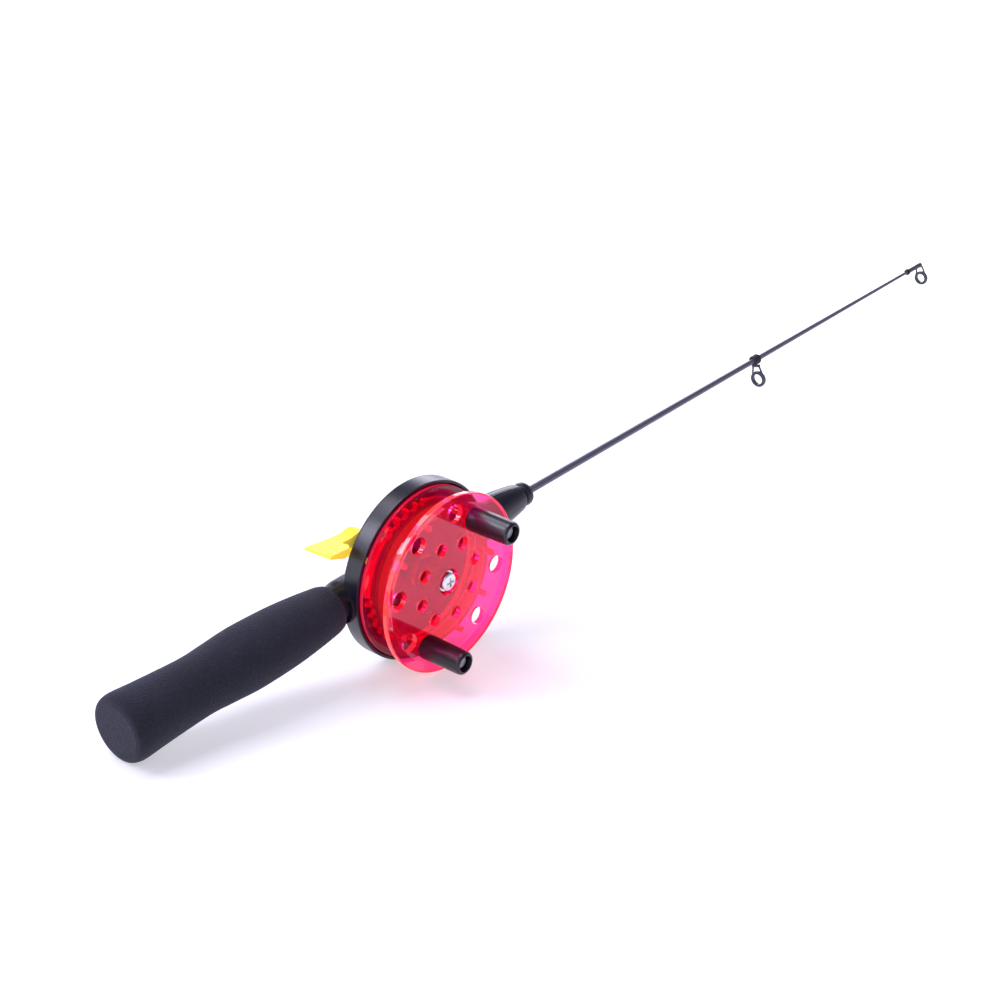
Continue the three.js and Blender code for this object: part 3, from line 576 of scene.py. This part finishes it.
GRIP_BUTT, GRIP_FRONT = -148.3, -42.6
GRIP_KNOTS = [
    (0, 10.4), (0.7, 12.2), (2.6, 13.1), (6, 13.28), (16, 12.6), (36, 11.7), (46, 12.15),
    (59, 12.95), (69, 12.9), (80, 12.5), (91, 11.6), (102, 10.3), (104.7, 9.7),
]
grip_line = smooth_line([(GRIP_BUTT + a, r) for a, r in GRIP_KNOTS], 12)
handle = (0, AXIS_Y, -HANDLE_DROP)
grip = round_piece(
    "grip",
    [
        (GRIP_BUTT, 2.0), (GRIP_BUTT, 6.0), *grip_line, (GRIP_FRONT - 0.3, 9.5),
        (GRIP_FRONT, 9.0), (GRIP_FRONT, 6.5), (GRIP_BUTT + 6.5, 6.5),
    ],
    "X",
    handle,
    128,
)
smooth(grip, 50)
finish_piece(grip, "rod", foam, ["handle_grip"])

# ---------------------------------------------------------------- spool

rim_start = FLANGE_R - RIM_W
plate = round_piece(
    "spool_plate",
    [
        (0, CENTRE_HOLE_R), (0, rim_start - 0.6), (-0.12, rim_start),
        (-RIM_RISE * 0.85, FLANGE_R - 0.9), (-RIM_RISE, FLANGE_R - 0.45),
        (-RIM_RISE + 0.1, FLANGE_R - 0.12), (-RIM_RISE + 0.5, FLANGE_R), (0.35, FLANGE_R),
        (0.75, FLANGE_R - 0.25), (FLANGE_T - 0.1, rim_start + 0.3), (FLANGE_T, rim_start - 0.4),
        (FLANGE_T, CENTRE_HOLE_R), (0, CENTRE_HOLE_R),
    ],
    sides=192,
    hollow=True,
)
drills = [
    rod_piece("drill", radius, -2, FLANGE_T + 2, centre=(x, 0, z), sides=40)
    for radius, places in (
        (OUTER_HOLE_R, circle_places(8, OUTER_HOLE_PCR, HOLE_TURN)),
        (INNER_HOLE_R, circle_places(8, INNER_HOLE_PCR, HOLE_TURN + 22.5)),
        (PIN_BORE_R, circle_places(2, KNOB_PCR, KNOB_TURN)),
    )
    for _, x, z in places
]
cut(plate, *drills)
soften(plate, 0.22, 3)
finish_piece(plate, "spool", plate_red, ["spool_front_flange"])

hub_in = HUB_R - HUB_WALL
back_rim = BACK_FLANGE_R - 2.8
drum = round_piece(
    "spool_drum_shell",
    [
        (DRUM_FRONT + 1, BUSH_R + GAP), (DRUM_FRONT + 1, BOSS_R), (BACK_FLANGE_Y, BOSS_R),
        (BACK_FLANGE_Y, hub_in), (DRUM_FRONT, hub_in), (DRUM_FRONT, HUB_R),
        (BACK_FLANGE_Y, HUB_R), (BACK_FLANGE_Y, back_rim),
        (BACK_FLANGE_Y + 0.75, BACK_FLANGE_R - 0.35),
        (BACK_FLANGE_Y + 1.1, BACK_FLANGE_R), (WEB_BACK + 0.1, BACK_FLANGE_R),
        (WEB_BACK + 0.35, BACK_FLANGE_R - 0.4), (WEB_BACK, back_rim), (WEB_BACK, BOSS_R),
        (RATCHET_BACK, BOSS_R), (RATCHET_BACK, BUSH_R + GAP), (DRUM_FRONT + 1, BUSH_R + GAP),
    ],
    sides=160,
    hollow=True,
)
half = HUB_R * math.sin(math.radians(NOTCH_ARC / 2))
notches = [
    block(
        "notch",
        (hub_in - 4, DRUM_FRONT - 1, -half),
        (HUB_R + 3, DRUM_FRONT + NOTCH_DEPTH, half),
        turn,
    )
    for turn, _, _ in circle_places(NOTCHES, HUB_R, 180 / NOTCHES)
]
cut(drum, *notches)
soften(drum, 0.18, 2)
finish_piece(drum, "spool", drum_red, ["spool_drum"])

# Ratchet ring: four corners to a tooth, every other pair drawn in to the root.
ratchet = round_piece(
    "ratchet_ring",
    [(WEB_BACK + 0.02, hub_in), (WEB_BACK + 0.02, RATCHET_R), (RATCHET_BACK, RATCHET_R),
     (RATCHET_BACK, hub_in), (WEB_BACK + 0.02, hub_in)],
    sides=TEETH * 4,
    hollow=True,
)
for corner in ratchet.data.vertices:
    flat = math.hypot(corner.co.x, corner.co.z)
    turn = math.degrees(math.atan2(corner.co.z, corner.co.x)) % (360 / TEETH)
    if flat > RATCHET_R - 0.5 and turn / (360 / TEETH) % 0.75 < 0.1:
        share = (RATCHET_R - TOOTH) / RATCHET_R
        corner.co.x *= share
        corner.co.z *= share
soften(ratchet, 0.15, 2)
finish_piece(ratchet, "spool", drum_red, ["spool_drum"])

# ---------------------------------------------------------------- knobs

for index, (_, x, z) in enumerate(circle_places(2, KNOB_PCR, KNOB_TURN), start=1):
    end = -GAP - KNOB_L
    knob = round_piece(
        f"winding_knob_{index}",
        [
            (-GAP, PIN_BORE_R), (-GAP, KNOB_R - 0.25), (-GAP - 0.25, KNOB_R + 0.1),
            (-GAP - 0.9, KNOB_R + 0.2),
            (end + 4, KNOB_R + 0.02), (end + 2, KNOB_R), (end + 1, KNOB_R - 0.12),
            (end + 0.45, KNOB_R - 0.4), (end + 0.1, KNOB_R - 0.85), (end, KNOB_R - 1.15),
            (end + 0.12, 3.4), (end + 0.35, KNOB_RECESS_R), (end + KNOB_RECESS, KNOB_RECESS_R),
            (end + KNOB_RECESS, PIN_BORE_R), (-GAP, PIN_BORE_R),
        ],
        centre=(x, 0, z),
        sides=72,
        hollow=True,
    )
    smooth(knob, 35)
    finish_piece(knob, f"knob_{index}", knob_black, [f"knob_{index}"])
    seat = end + KNOB_RECESS - GAP
    head = PIN_HEAD_R
    pin = round_piece(
        f"winding_pin_{index}",
        [
            (FLANGE_T, PIN_R), (seat, PIN_R), (seat, head), (seat - 1.1, head),
            (seat - 1.35, head - 0.1),
            (seat - 1.52, head - 0.35), (seat - 1.6, head - 0.9), (seat - 1.58, 0.6),
        ],
        centre=(x, 0, z),
        sides=48,
    )
    smooth(pin, 35)
    finish_piece(pin, "spool", pin_grey, [f"knob_pin_{index}"])


# ---------------------------------------------------------------- body

def spine(name, y, clear_back):
    """One half of the round body in line with the rod, cut at the seam."""
    neck_inside = 4 - COVER_R
    neck = round_piece(
        name,
        [
            (NECK_END, NECK_R - 0.25), (NECK_END + 0.25, NECK_R), (NECK_END + 2.5, NECK_R + 0.1),
            (NECK_END + 3.6, NECK_R + 0.3), (NECK_END + 5, NECK_FLARE_R - 0.2),
            (NECK_END + 6.4, NECK_FLARE_R - 0.03), (NECK_END + 9, NECK_FLARE_R),
            (neck_inside, NECK_FLARE_R),
        ],
        "X",
        handle,
        96,
    )
    nose_line = smooth_line(
        [
            (NOSE_ROOT, SPINE_R), (NOSE_ROOT + 12, SPINE_R - 0.5), (NOSE_END - 8, 7.2),
            (NOSE_END - 2.4, 6.3),
        ],
        8,
    )
    nose = round_piece(
        "nose",
        [
            (neck_inside - 4, SPINE_R), *nose_line, (NOSE_END - 1.2, 6.05),
            (NOSE_END - 0.4, 5.8), (NOSE_END, 5.4),
        ],
        "X",
        (0, AXIS_Y, 0),
        96,
    )
    whole = add(neck, nose)
    return bisect(whole, y, clear_back)


def spine_bores():
    core = rod_piece("bore", CORE_BORE_R, NECK_END - 1, CORE_PLUG_END, "X", handle, 64)
    root = NOSE_END - FERRULE_L - GAP
    butt = rod_piece("bore", FERRULE_BORE_R, root, NOSE_END + 1, "X", (0, AXIS_Y, 0), 48)
    return [core, butt]


screw_places = [
    (
        COVER_SCREW_PCR * math.cos(math.radians(side + sign * COVER_SCREW_TURN)),
        COVER_SCREW_PCR * math.sin(math.radians(side + sign * COVER_SCREW_TURN)),
    )
    for side in (0, 180)
    for sign in (-1, 1)
]

front_spine = spine("front_spine", PAN_BACK, True)
cut(front_spine, rod_piece("pan_room", PAN_R - 0.4, 0, PAN_BACK + 1, sides=160))
pan = round_piece(
    "body_front_shell",
    [
        (RATCHET_BACK + GAP, AXLE_BORE_R), (RATCHET_BACK + GAP, AXLE_BOSS_R),
        (PAN_FLOOR, AXLE_BOSS_R),
        (PAN_FLOOR, PAN_IN_R - 1), (PAN_FLOOR - 0.3, PAN_IN_R - 0.3), (PAN_FLOOR - 1, PAN_IN_R),
        (LIP_Y + 0.15, PAN_IN_R), (LIP_Y, PAN_IN_R + 0.15), (LIP_Y, PAN_R - 0.4),
        (LIP_Y + 0.12, PAN_R - 0.12), (LIP_Y + 0.4, PAN_R), (PAN_BACK - 1.2, PAN_R),
        (PAN_BACK - 0.6, PAN_R - 0.12), (PAN_BACK - 0.15, PAN_R - 0.5), (PAN_BACK, PAN_R - 1),
        (PAN_BACK, AXLE_BORE_R), (RATCHET_BACK + GAP, AXLE_BORE_R),
    ],
    sides=192,
    hollow=True,
)
posts = [
    rod_piece("post", POST_R, PAN_BACK - 0.5, PAN_BACK + 4.2, centre=(x, 0, z))
    for x, z in screw_places
]
lever_boss = rod_piece("post", 3.2, PAN_BACK - 0.5, PAN_BACK + 1.7, centre=PIVOT)
add(pan, front_spine, *posts, lever_boss)
pilots = [
    rod_piece("bore", SCREW_HOLE_R, PAN_BACK + 0.3, PAN_BACK + 6, centre=(x, 0, z))
    for x, z in screw_places
]
pivot_bore = rod_piece("bore", PIVOT_BORE_R, PAN_BACK - 0.9, PAN_BACK + 4, centre=PIVOT)
# The window lets the brake nose through the floor; the latch is a slot in the neck.
window = block("bore", (-30.6, PAN_FLOOR - 1, 14.0), (-26.7, PAN_BACK + 1, 18.4))
latch = block("bore", (-41.4, AXIS_Y - 10, -7), (-38.5, AXIS_Y - 4.2, 3))
cut(pan, *spine_bores(), *pilots, pivot_bore, window, latch)
smooth(pan, 32)
finish_piece(pan, "rod", shell, ["body_front"])

cover = round_piece(
    "rear_cover_shell",
    [
        (COVER_Y, COVER_R - 0.15), (COVER_Y + 0.15, COVER_R), (COVER_BACK - 1.5, COVER_R - 0.8),
        (COVER_BACK - 0.9, COVER_R - 0.95), (COVER_BACK - 0.4, COVER_R - 1.3),
        (COVER_BACK - 0.1, COVER_R - 1.8), (COVER_BACK, COVER_R - 2.4),
    ],
    sides=160,
)
add(cover, spine("back_spine", COVER_Y, False))
room = round_piece(
    "bore",
    [(COVER_Y - 1, COVER_R - 2), (COVER_BACK - 2, COVER_R - 2.8)],
    sides=120,
)
lane = rod_piece("bore", LANE_R, -31.5, 34, "X", (0, AXIS_Y, 0), 64)
cut(cover, *spine_bores())
cut(cover, room)
cut(cover, lane)
post_top = PAN_BACK + 4.5
bosses = [
    rod_piece("boss", 3.6, post_top, COVER_BACK - 1, centre=(x, 0, z)) for x, z in screw_places
]
add(cover, *bosses)
holes = [
    rod_piece("bore", SCREW_HOLE_R, COVER_Y - 1, COVER_BACK + 1, centre=(x, 0, z))
    for x, z in screw_places
]
sinks = [
    rod_piece("bore", 3.0, COVER_BACK - 1.5, COVER_BACK + 1, centre=(x, 0, z))
    for x, z in screw_places
]
cut(cover, *holes)
cut(cover, *sinks)
smooth(cover, 32)
finish_piece(cover, "rod", shell, ["rear_cover"])


def cross(y0, y1, length, width, x=0.0, z=0.0):
    """The two slots of a cross recess."""
    reach, side = length / 2, width / 2
    return [
        block("bore", (x - reach, y0, z - side), (x + reach, y1, z + side)),
        block("bore", (x - side, y0, z - reach), (x + side, y1, z + reach)),
    ]


for index, (x, z) in enumerate(screw_places, start=1):
    seat = COVER_BACK - 1.2
    screw = round_piece(
        f"case_screw_{index}",
        [
            (PAN_BACK + 0.8, 1.0), (PAN_BACK + 1.1, 1.3), (seat, 1.3), (seat, 2.7),
            (COVER_BACK - 0.55, 2.7), (COVER_BACK - 0.25, 2.45), (COVER_BACK - 0.06, 1.9),
            (COVER_BACK, 1.0),
        ],
        centre=(x, 0, z),
        sides=48,
    )
    for slot_block in cross(COVER_BACK - 0.8, COVER_BACK + 1, 3, 0.7, x, z):
        cut(screw, slot_block)
    smooth(screw, 30)
    finish_piece(screw, "rod", screw_steel, [f"cover_screw_{index}"])

washer_y = BUSH_FRONT - GAP - 0.5
head_seat = washer_y - GAP
head_top = head_seat - 1.9
axle_screw = round_piece(
    "spool_screw",
    [
        (washer_y + 6.8, 1.0), (washer_y + 6.4, 1.3), (head_seat, 1.3), (head_seat, 3.75),
        (head_top + 1.0, 3.75), (head_top + 0.62, 3.5), (head_top + 0.28, 2.95),
        (head_top + 0.06, 2.1), (head_top, 1.0),
    ],
    sides=64,
)
for slot_block in cross(head_top - 1, head_top + 1.0, 4.1, 0.95):
    cut(axle_screw, slot_block)
soften(axle_screw, 0.08, 2)
finish_piece(axle_screw, "rod", screw_steel, ["axle_screw"])

# ---------------------------------------------------------------- thumb brake

LEVER_BACK = LEVER_Y + LEVER_W
LEVER_MIDDLE = LEVER_Y + LEVER_W / 2
BRAKE_NOSE_PCR, TAIL_L, TAIL_R = 33.2, 7.0, 1.7

# Outlines from the pivot: the arm and the pad from the front, and the pad from above.
ARM = [(3, 2.6), (1.6, 4.8), (-2, 6.3), (-6.8, 5.4), (-12, 5.4), (-12, 3), (-3.9, 0.2)]
PAD_SIDE = [
    (-24.7, 6.5), (-24.7, 5.4), (-15, 1.9), (-11, 4), (-6.8, 4.4), (-6.8, 5.4), (-12, 5.5),
]
PAD_PLAN = [
    (-23.1, -8), (-13.2, -8), (-11.3, -6.2), (-11.9, -3), (-6.8, -3), (-6.8, 3), (-24.7, 4.4),
]


def from_pivot(outline):
    return [(PIVOT_X + u, PIVOT_Z + v) for u, v in outline]


lever = rod_piece("thumb_lever", 4.0, LEVER_Y, LEVER_BACK, centre=PIVOT, sides=48)
arm = plate_piece("arm", from_pivot(ARM), "Y", LEVER_Y, LEVER_BACK)
pad_outline = [(PIVOT_X + u, LEVER_MIDDLE + v) for u, v in PAD_PLAN]
pad = plate_piece("pad", pad_outline, "Z", PIVOT_Z - 10, PIVOT_Z + 20)
combine(pad, [plate_piece("pad_side", from_pivot(PAD_SIDE), "Y", 0, 50)], "INTERSECT")

# The brake nose stands at the tail's length from the pivot and at its own radius from the reel.
turn_to_nose = math.acos(
    (PIVOT_R**2 + BRAKE_NOSE_PCR**2 - TAIL_L**2) / (2 * PIVOT_R * BRAKE_NOSE_PCR)
)
nose_turn = math.radians(PIVOT_TURN) + turn_to_nose
nose_x = BRAKE_NOSE_PCR * math.cos(nose_turn)
nose_z = BRAKE_NOSE_PCR * math.sin(nose_turn)
across_tail = Vector((nose_x - PIVOT_X, 0, nose_z - PIVOT_Z)).normalized() * TAIL_R
tail = plate_piece(
    "tail",
    [
        (PIVOT_X - across_tail.z, PIVOT_Z + across_tail.x),
        (nose_x - across_tail.z, nose_z + across_tail.x),
        (nose_x + across_tail.z, nose_z - across_tail.x),
        (PIVOT_X + across_tail.z, PIVOT_Z - across_tail.x),
    ],
    "Y",
    LEVER_Y,
    LEVER_BACK,
)
tail_end = rod_piece("tail_end", TAIL_R, LEVER_Y, LEVER_BACK, centre=(nose_x, 0, nose_z))
brake_nose = rod_piece("brake_nose", 1.2, WEB_BACK + 0.6, LEVER_Y + 1, centre=(nose_x, 0, nose_z))
add(lever, arm, pad, tail, tail_end, brake_nose)
cut(lever, rod_piece("bore", PIVOT_BORE_R, LEVER_Y - 1, LEVER_BACK + 1, centre=PIVOT))
soften(lever, 0.4, 3, 35)
finish_piece(lever, "lever", lever_yellow, ["brake_lever"])

# ---------------------------------------------------------------- ferrule and blank

ferrule_root = NOSE_END - FERRULE_L
ferrule_floor = BLANK_ROOT - GAP
bead = NOSE_END + GAP
neck_end = bead + 1.3
end = neck_end + 4.2
ferrule = round_piece(
    "ferrule_bead",
    [
        (ferrule_root, 1.9), (ferrule_root, 3.0), (bead, 3.0), (bead, 4.3), (bead + 0.15, 4.4),
        (neck_end - 0.1, 4.35), (neck_end, 4.6), (neck_end + 0.25, 4.95), (neck_end + 0.8, 5.12),
        (neck_end + 2.1, 5.2), (end - 1.4, 5.1), (end - 0.7, 4.8), (end - 0.2, 4.35), (end, 3.9),
        (end, 2.4), (end - 0.4, 2.0), (ferrule_floor, 2.0), (ferrule_floor, 1.2),
        (ferrule_root, 1.2), (ferrule_root, 1.9),
    ],
    "X",
    (0, AXIS_Y, 0),
    72,
    hollow=True,
)
smooth(ferrule, 35)
finish_piece(ferrule, "rod", ferrule_black, ["ferrule"])


def blank_r(x):
    """The blank tapers quicker past its middle."""
    if x < BLANK_MID:
        share = (x - BLANK_ROOT) / (BLANK_MID - BLANK_ROOT)
        return BLANK_ROOT_R + (BLANK_MID_R - BLANK_ROOT_R) * share
    share = (x - BLANK_MID) / (TIP - BLANK_MID)
    return BLANK_MID_R + (BLANK_TIP_R - BLANK_MID_R) * share


stations = [BLANK_ROOT + i * (TIP - 1 - BLANK_ROOT) / 24 for i in range(25)]
blank = round_piece(
    "blank_shaft", [(x, blank_r(x)) for x in stations], "X", (0, AXIS_Y, 0), 32
)
smooth(blank, 40)
finish_piece(blank, "rod", blank_finish, ["rod_blank"])

# ---------------------------------------------------------------- line guides


def rolled(piece):
    """Turns a guide about the blank, towards the reel's front."""
    pick(piece)
    about = Matrix.Translation((0, AXIS_Y, 0))
    roll = Matrix.Rotation(math.radians(-GUIDE_ROLL), 4, "X")
    piece.matrix_world = about @ roll @ about.inverted()
    bpy.ops.object.transform_apply(location=True, rotation=True, scale=True)
    return piece


def ring(name, guide, outer, inner, thickness):
    half = thickness / 2
    edge = min(0.28, (outer - inner) / 2.5)
    outline = [
        (-half, inner + edge * 0.5), (-half, outer - edge), (-half * 0.75, outer - edge * 0.3),
        (-half * 0.3, outer), (half * 0.3, outer), (half * 0.75, outer - edge * 0.3),
        (half, outer - edge), (half, inner + edge * 0.5), (half * 0.6, inner),
        (-half * 0.6, inner), (-half, inner + edge * 0.5),
    ]
    centre = (guide["x"], AXIS_Y, -guide["drop"])
    return round_piece(name, outline, "X", centre, 56, hollow=True)


def leg(guide, side):
    """A wire from the foot to the side of the ring."""
    reach = guide["radius"] - 0.375
    top = Vector((guide["x"], AXIS_Y + side * LEG_SPREAD, -guide["foot"] + 0.35))
    low = Vector((guide["x"], AXIS_Y + side * reach * 0.78, -guide["drop"] + reach * 0.62))
    way = low - top
    deselect_all()
    bpy.ops.mesh.primitive_cylinder_add(vertices=20, radius=GUIDE_WIRE_R, depth=way.length)
    piece = named("leg")
    turn = way.to_track_quat("Z", "Y").to_matrix().to_4x4()
    piece.matrix_world = Matrix.Translation((top + low) / 2) @ turn
    bpy.ops.object.transform_apply(location=True, rotation=True, scale=True)
    return piece


def guide_frame(name, guide, extra, stands_for):
    radius = guide["radius"]
    piece = ring(name, guide, radius, radius - 1.0, GUIDE_RING_T)
    add(piece, leg(guide, -1), leg(guide, 1), *extra)
    soften(piece, 0.1, 2, 40)
    rolled(piece)
    finish_piece(piece, "rod", guide_black, [stands_for])
    insert = ring(f"{name}_lining", guide, radius - 1.02, radius - 1.55, GUIDE_LINING_T)
    smooth(insert, 40)
    rolled(insert)
    finish_piece(insert, "rod", ceramic, [stands_for.replace("frame", "insert")])


mid_x = MID_GUIDE["x"]
saddle = block(
    "saddle",
    (mid_x - 0.92, AXIS_Y - SADDLE_SIDE, -SLEEVE_R - 1),
    (mid_x + 0.92, AXIS_Y + SADDLE_SIDE, -SLEEVE_R - 0.1),
)
guide_frame("hanging_guide", MID_GUIDE, [saddle], "mid_guide_frame")

tube_start = TIP - 13.4
bore_r = blank_r(tube_start) + GAP
tip_tube = round_piece(
    "tube",
    [
        (tube_start, bore_r), (tube_start, bore_r + 0.1), (tube_start + 0.2, bore_r + 0.15),
        (TIP - 0.5, bore_r + 0.15), (TIP - 0.2, bore_r), (TIP, bore_r - 0.35), (TIP, 0.2),
        (TIP - 0.7, 0.2), (TIP - 0.7, bore_r), (tube_start, bore_r),
    ],
    "X",
    (0, AXIS_Y, 0),
    40,
    hollow=True,
)
tip_x = TIP_GUIDE["x"]
bridge = block(
    "saddle",
    (tip_x - 0.5, AXIS_Y - SADDLE_SIDE, -bore_r - 0.2),
    (tip_x + 0.5, AXIS_Y + SADDLE_SIDE, -bore_r - 0.1),
)
guide_frame("tip_top", TIP_GUIDE, [bridge, tip_tube], "tip_guide_frame")

sleeve_bore = blank_r(mid_x) + GAP
sleeve = round_piece(
    "guide_sleeve",
    [
        (mid_x - 2.3, sleeve_bore), (mid_x - 2.3, 1.9), (mid_x - 2.1, 2.25), (mid_x - 1.7, 2.46),
        (mid_x - 1.2, SLEEVE_R), (mid_x - 0.6, 2.3), (mid_x, 2.0), (mid_x + 0.6, 2.3),
        (mid_x + 1.2, SLEEVE_R), (mid_x + 1.7, 2.46), (mid_x + 2.1, 2.25), (mid_x + 2.3, 1.9),
        (mid_x + 2.3, sleeve_bore), (mid_x - 2.3, sleeve_bore),
    ],
    "X",
    (0, AXIS_Y, 0),
    48,
    hollow=True,
)
smooth(sleeve, 50)
finish_piece(sleeve, "rod", rubber, ["mid_guide_sleeve"])

bead_end = tube_start - GAP
bead_start = bead_end - 1.8
bead_bore = blank_r(bead_start) + GAP
stop_bead = round_piece(
    "stop_bead",
    [
        (bead_start, bead_bore), (bead_start, bead_bore + 0.2),
        (bead_start + 0.25, bead_bore + 0.45),
        (bead_start + 0.6, bead_bore + 0.57), (bead_start + 0.9, bead_bore + 0.6),
        (bead_start + 1.2, bead_bore + 0.57), (bead_start + 1.55, bead_bore + 0.45),
        (bead_end, bead_bore + 0.2), (bead_end, bead_bore), (bead_start, bead_bore),
    ],
    "X",
    (0, AXIS_Y, 0),
    40,
    hollow=True,
)
smooth(stop_bead, 60)
finish_piece(stop_bead, "rod", rubber, ["tip_bead"])

# ---------------------------------------------------------------- frame pieces that stay

KEPT = {
    "handle_core": inner,
    "axle_bush": bush_brass,
    "spool_axle": axle_steel,
    "axle_nut": axle_steel,
    "axle_washer": screw_steel,
    "lever_pin": screw_steel,
    "lever_spring": spring_steel,
}
for node, finish in KEPT.items():
    mesh = frame["nodes"][node].data
    mesh.materials.clear()
    mesh.materials.append(finish.material)

# ---------------------------------------------------------------- floor and light

deselect_all()
bpy.ops.mesh.primitive_plane_add(size=12, location=(0, 0, 0))
floor = named("floor")
floor_finish = Finish("studio_floor", Roughness=0.6, Specular_IOR_Level=0.15)
away_x = floor_finish.from_centre(REEL_CENTRE, (1, 0, 0))
away_y = floor_finish.from_centre(REEL_CENTRE, (0, 1, 0))
away = ((away_x * away_x + away_y * away_y) ** 0.5).above(560.0, 640.0)
floor_finish.set(
    Base_Color=(0.7, 0.685, 0.72),
    Emission_Color=floor_finish.mix(away, (0.46, 0.455, 0.465), (1.0, 1.0, 1.0)),
    Emission_Strength=1.0,
)
floor.data.materials.append(floor_finish.material)

# The room is bright near the horizon and dim overhead.
world = bpy.data.worlds.new("studio")
bpy.context.scene.world = world
world.use_nodes = True
sky = world.node_tree
outlook = sky.nodes.new("ShaderNodeTexCoord")
split = sky.nodes.new("ShaderNodeSeparateXYZ")
ramp = sky.nodes.new("ShaderNodeValToRGB")
sky.links.new(outlook.outputs["Generated"], split.inputs[0])
sky.links.new(split.outputs["Z"], ramp.inputs[0])
sky.links.new(ramp.outputs[0], sky.nodes["Background"].inputs["Color"])
ramp.color_ramp.elements[0].position = 0.22
ramp.color_ramp.elements[0].color = (0.62, 0.62, 0.8, 1)
ramp.color_ramp.elements[1].position = 0.5
ramp.color_ramp.elements[1].color = (0.16, 0.16, 0.24, 1)


def softbox(name, direction, distance, size, watts, colour):
    """A lamp seen from the reel along a direction of the rod's frame."""
    light = bpy.data.lights.new(name, "AREA")
    light.shape = "RECTANGLE"
    light.size, light.size_y = size
    light.energy = watts
    light.color = colour
    lamp = bpy.data.objects.new(name, light)
    bpy.context.scene.collection.objects.link(lamp)
    out = (ROD_TURN @ Vector(direction)).normalized()
    lamp.location = REEL_CENTRE + out * distance
    lamp.rotation_euler = out.to_track_quat("Z", "Y").to_euler()


softbox("overhead_box", (0.02, 0.36, 0.92), 1.3, (0.7, 0.7), 10.0, (0.92, 0.91, 1.0))
softbox("back_left_box", (-0.46, 0.54, 0.71), 1.3, (0.35, 0.45), 6.5, (0.82, 0.82, 1.0))
softbox("left_wall", (-0.85, 0.35, 0.5), 1.6, (1.2, 1.2), 9.0, (0.82, 0.82, 1.0))
softbox("back_wall", (0.85, 0.6, 0.22), 1.6, (0.9, 0.5), 7.0, (0.85, 0.85, 1.0))
softbox("front_fill", (-0.45, -0.75, 0.75), 1.6, (0.8, 0.8), 2.6, (0.92, 0.92, 1.0))

# ---------------------------------------------------------------- camera

# Its place and its own three axes, in the rod's frame.
eye = ROD @ Vector((-476.2, -430.9, 384.1))
to_right = Vector((0.6437, -0.7652, -0.0084))
to_top = Vector((0.3692, 0.3009, 0.8793))
to_eye = Vector((-0.6703, -0.5691, 0.4762))
camera_data = bpy.data.cameras.new("camera")
camera_data.lens = 68.4
camera_data.sensor_width = 36
camera = bpy.data.objects.new("camera", camera_data)
bpy.context.scene.collection.objects.link(camera)
camera.location = eye
camera.rotation_mode = "QUATERNION"
view_turn = ROD_TURN @ Matrix((to_right, to_top, to_eye)).transposed()
camera.rotation_quaternion = view_turn.to_quaternion()
bpy.context.scene.camera = camera
bpy.context.scene.view_settings.view_transform = "Standard"
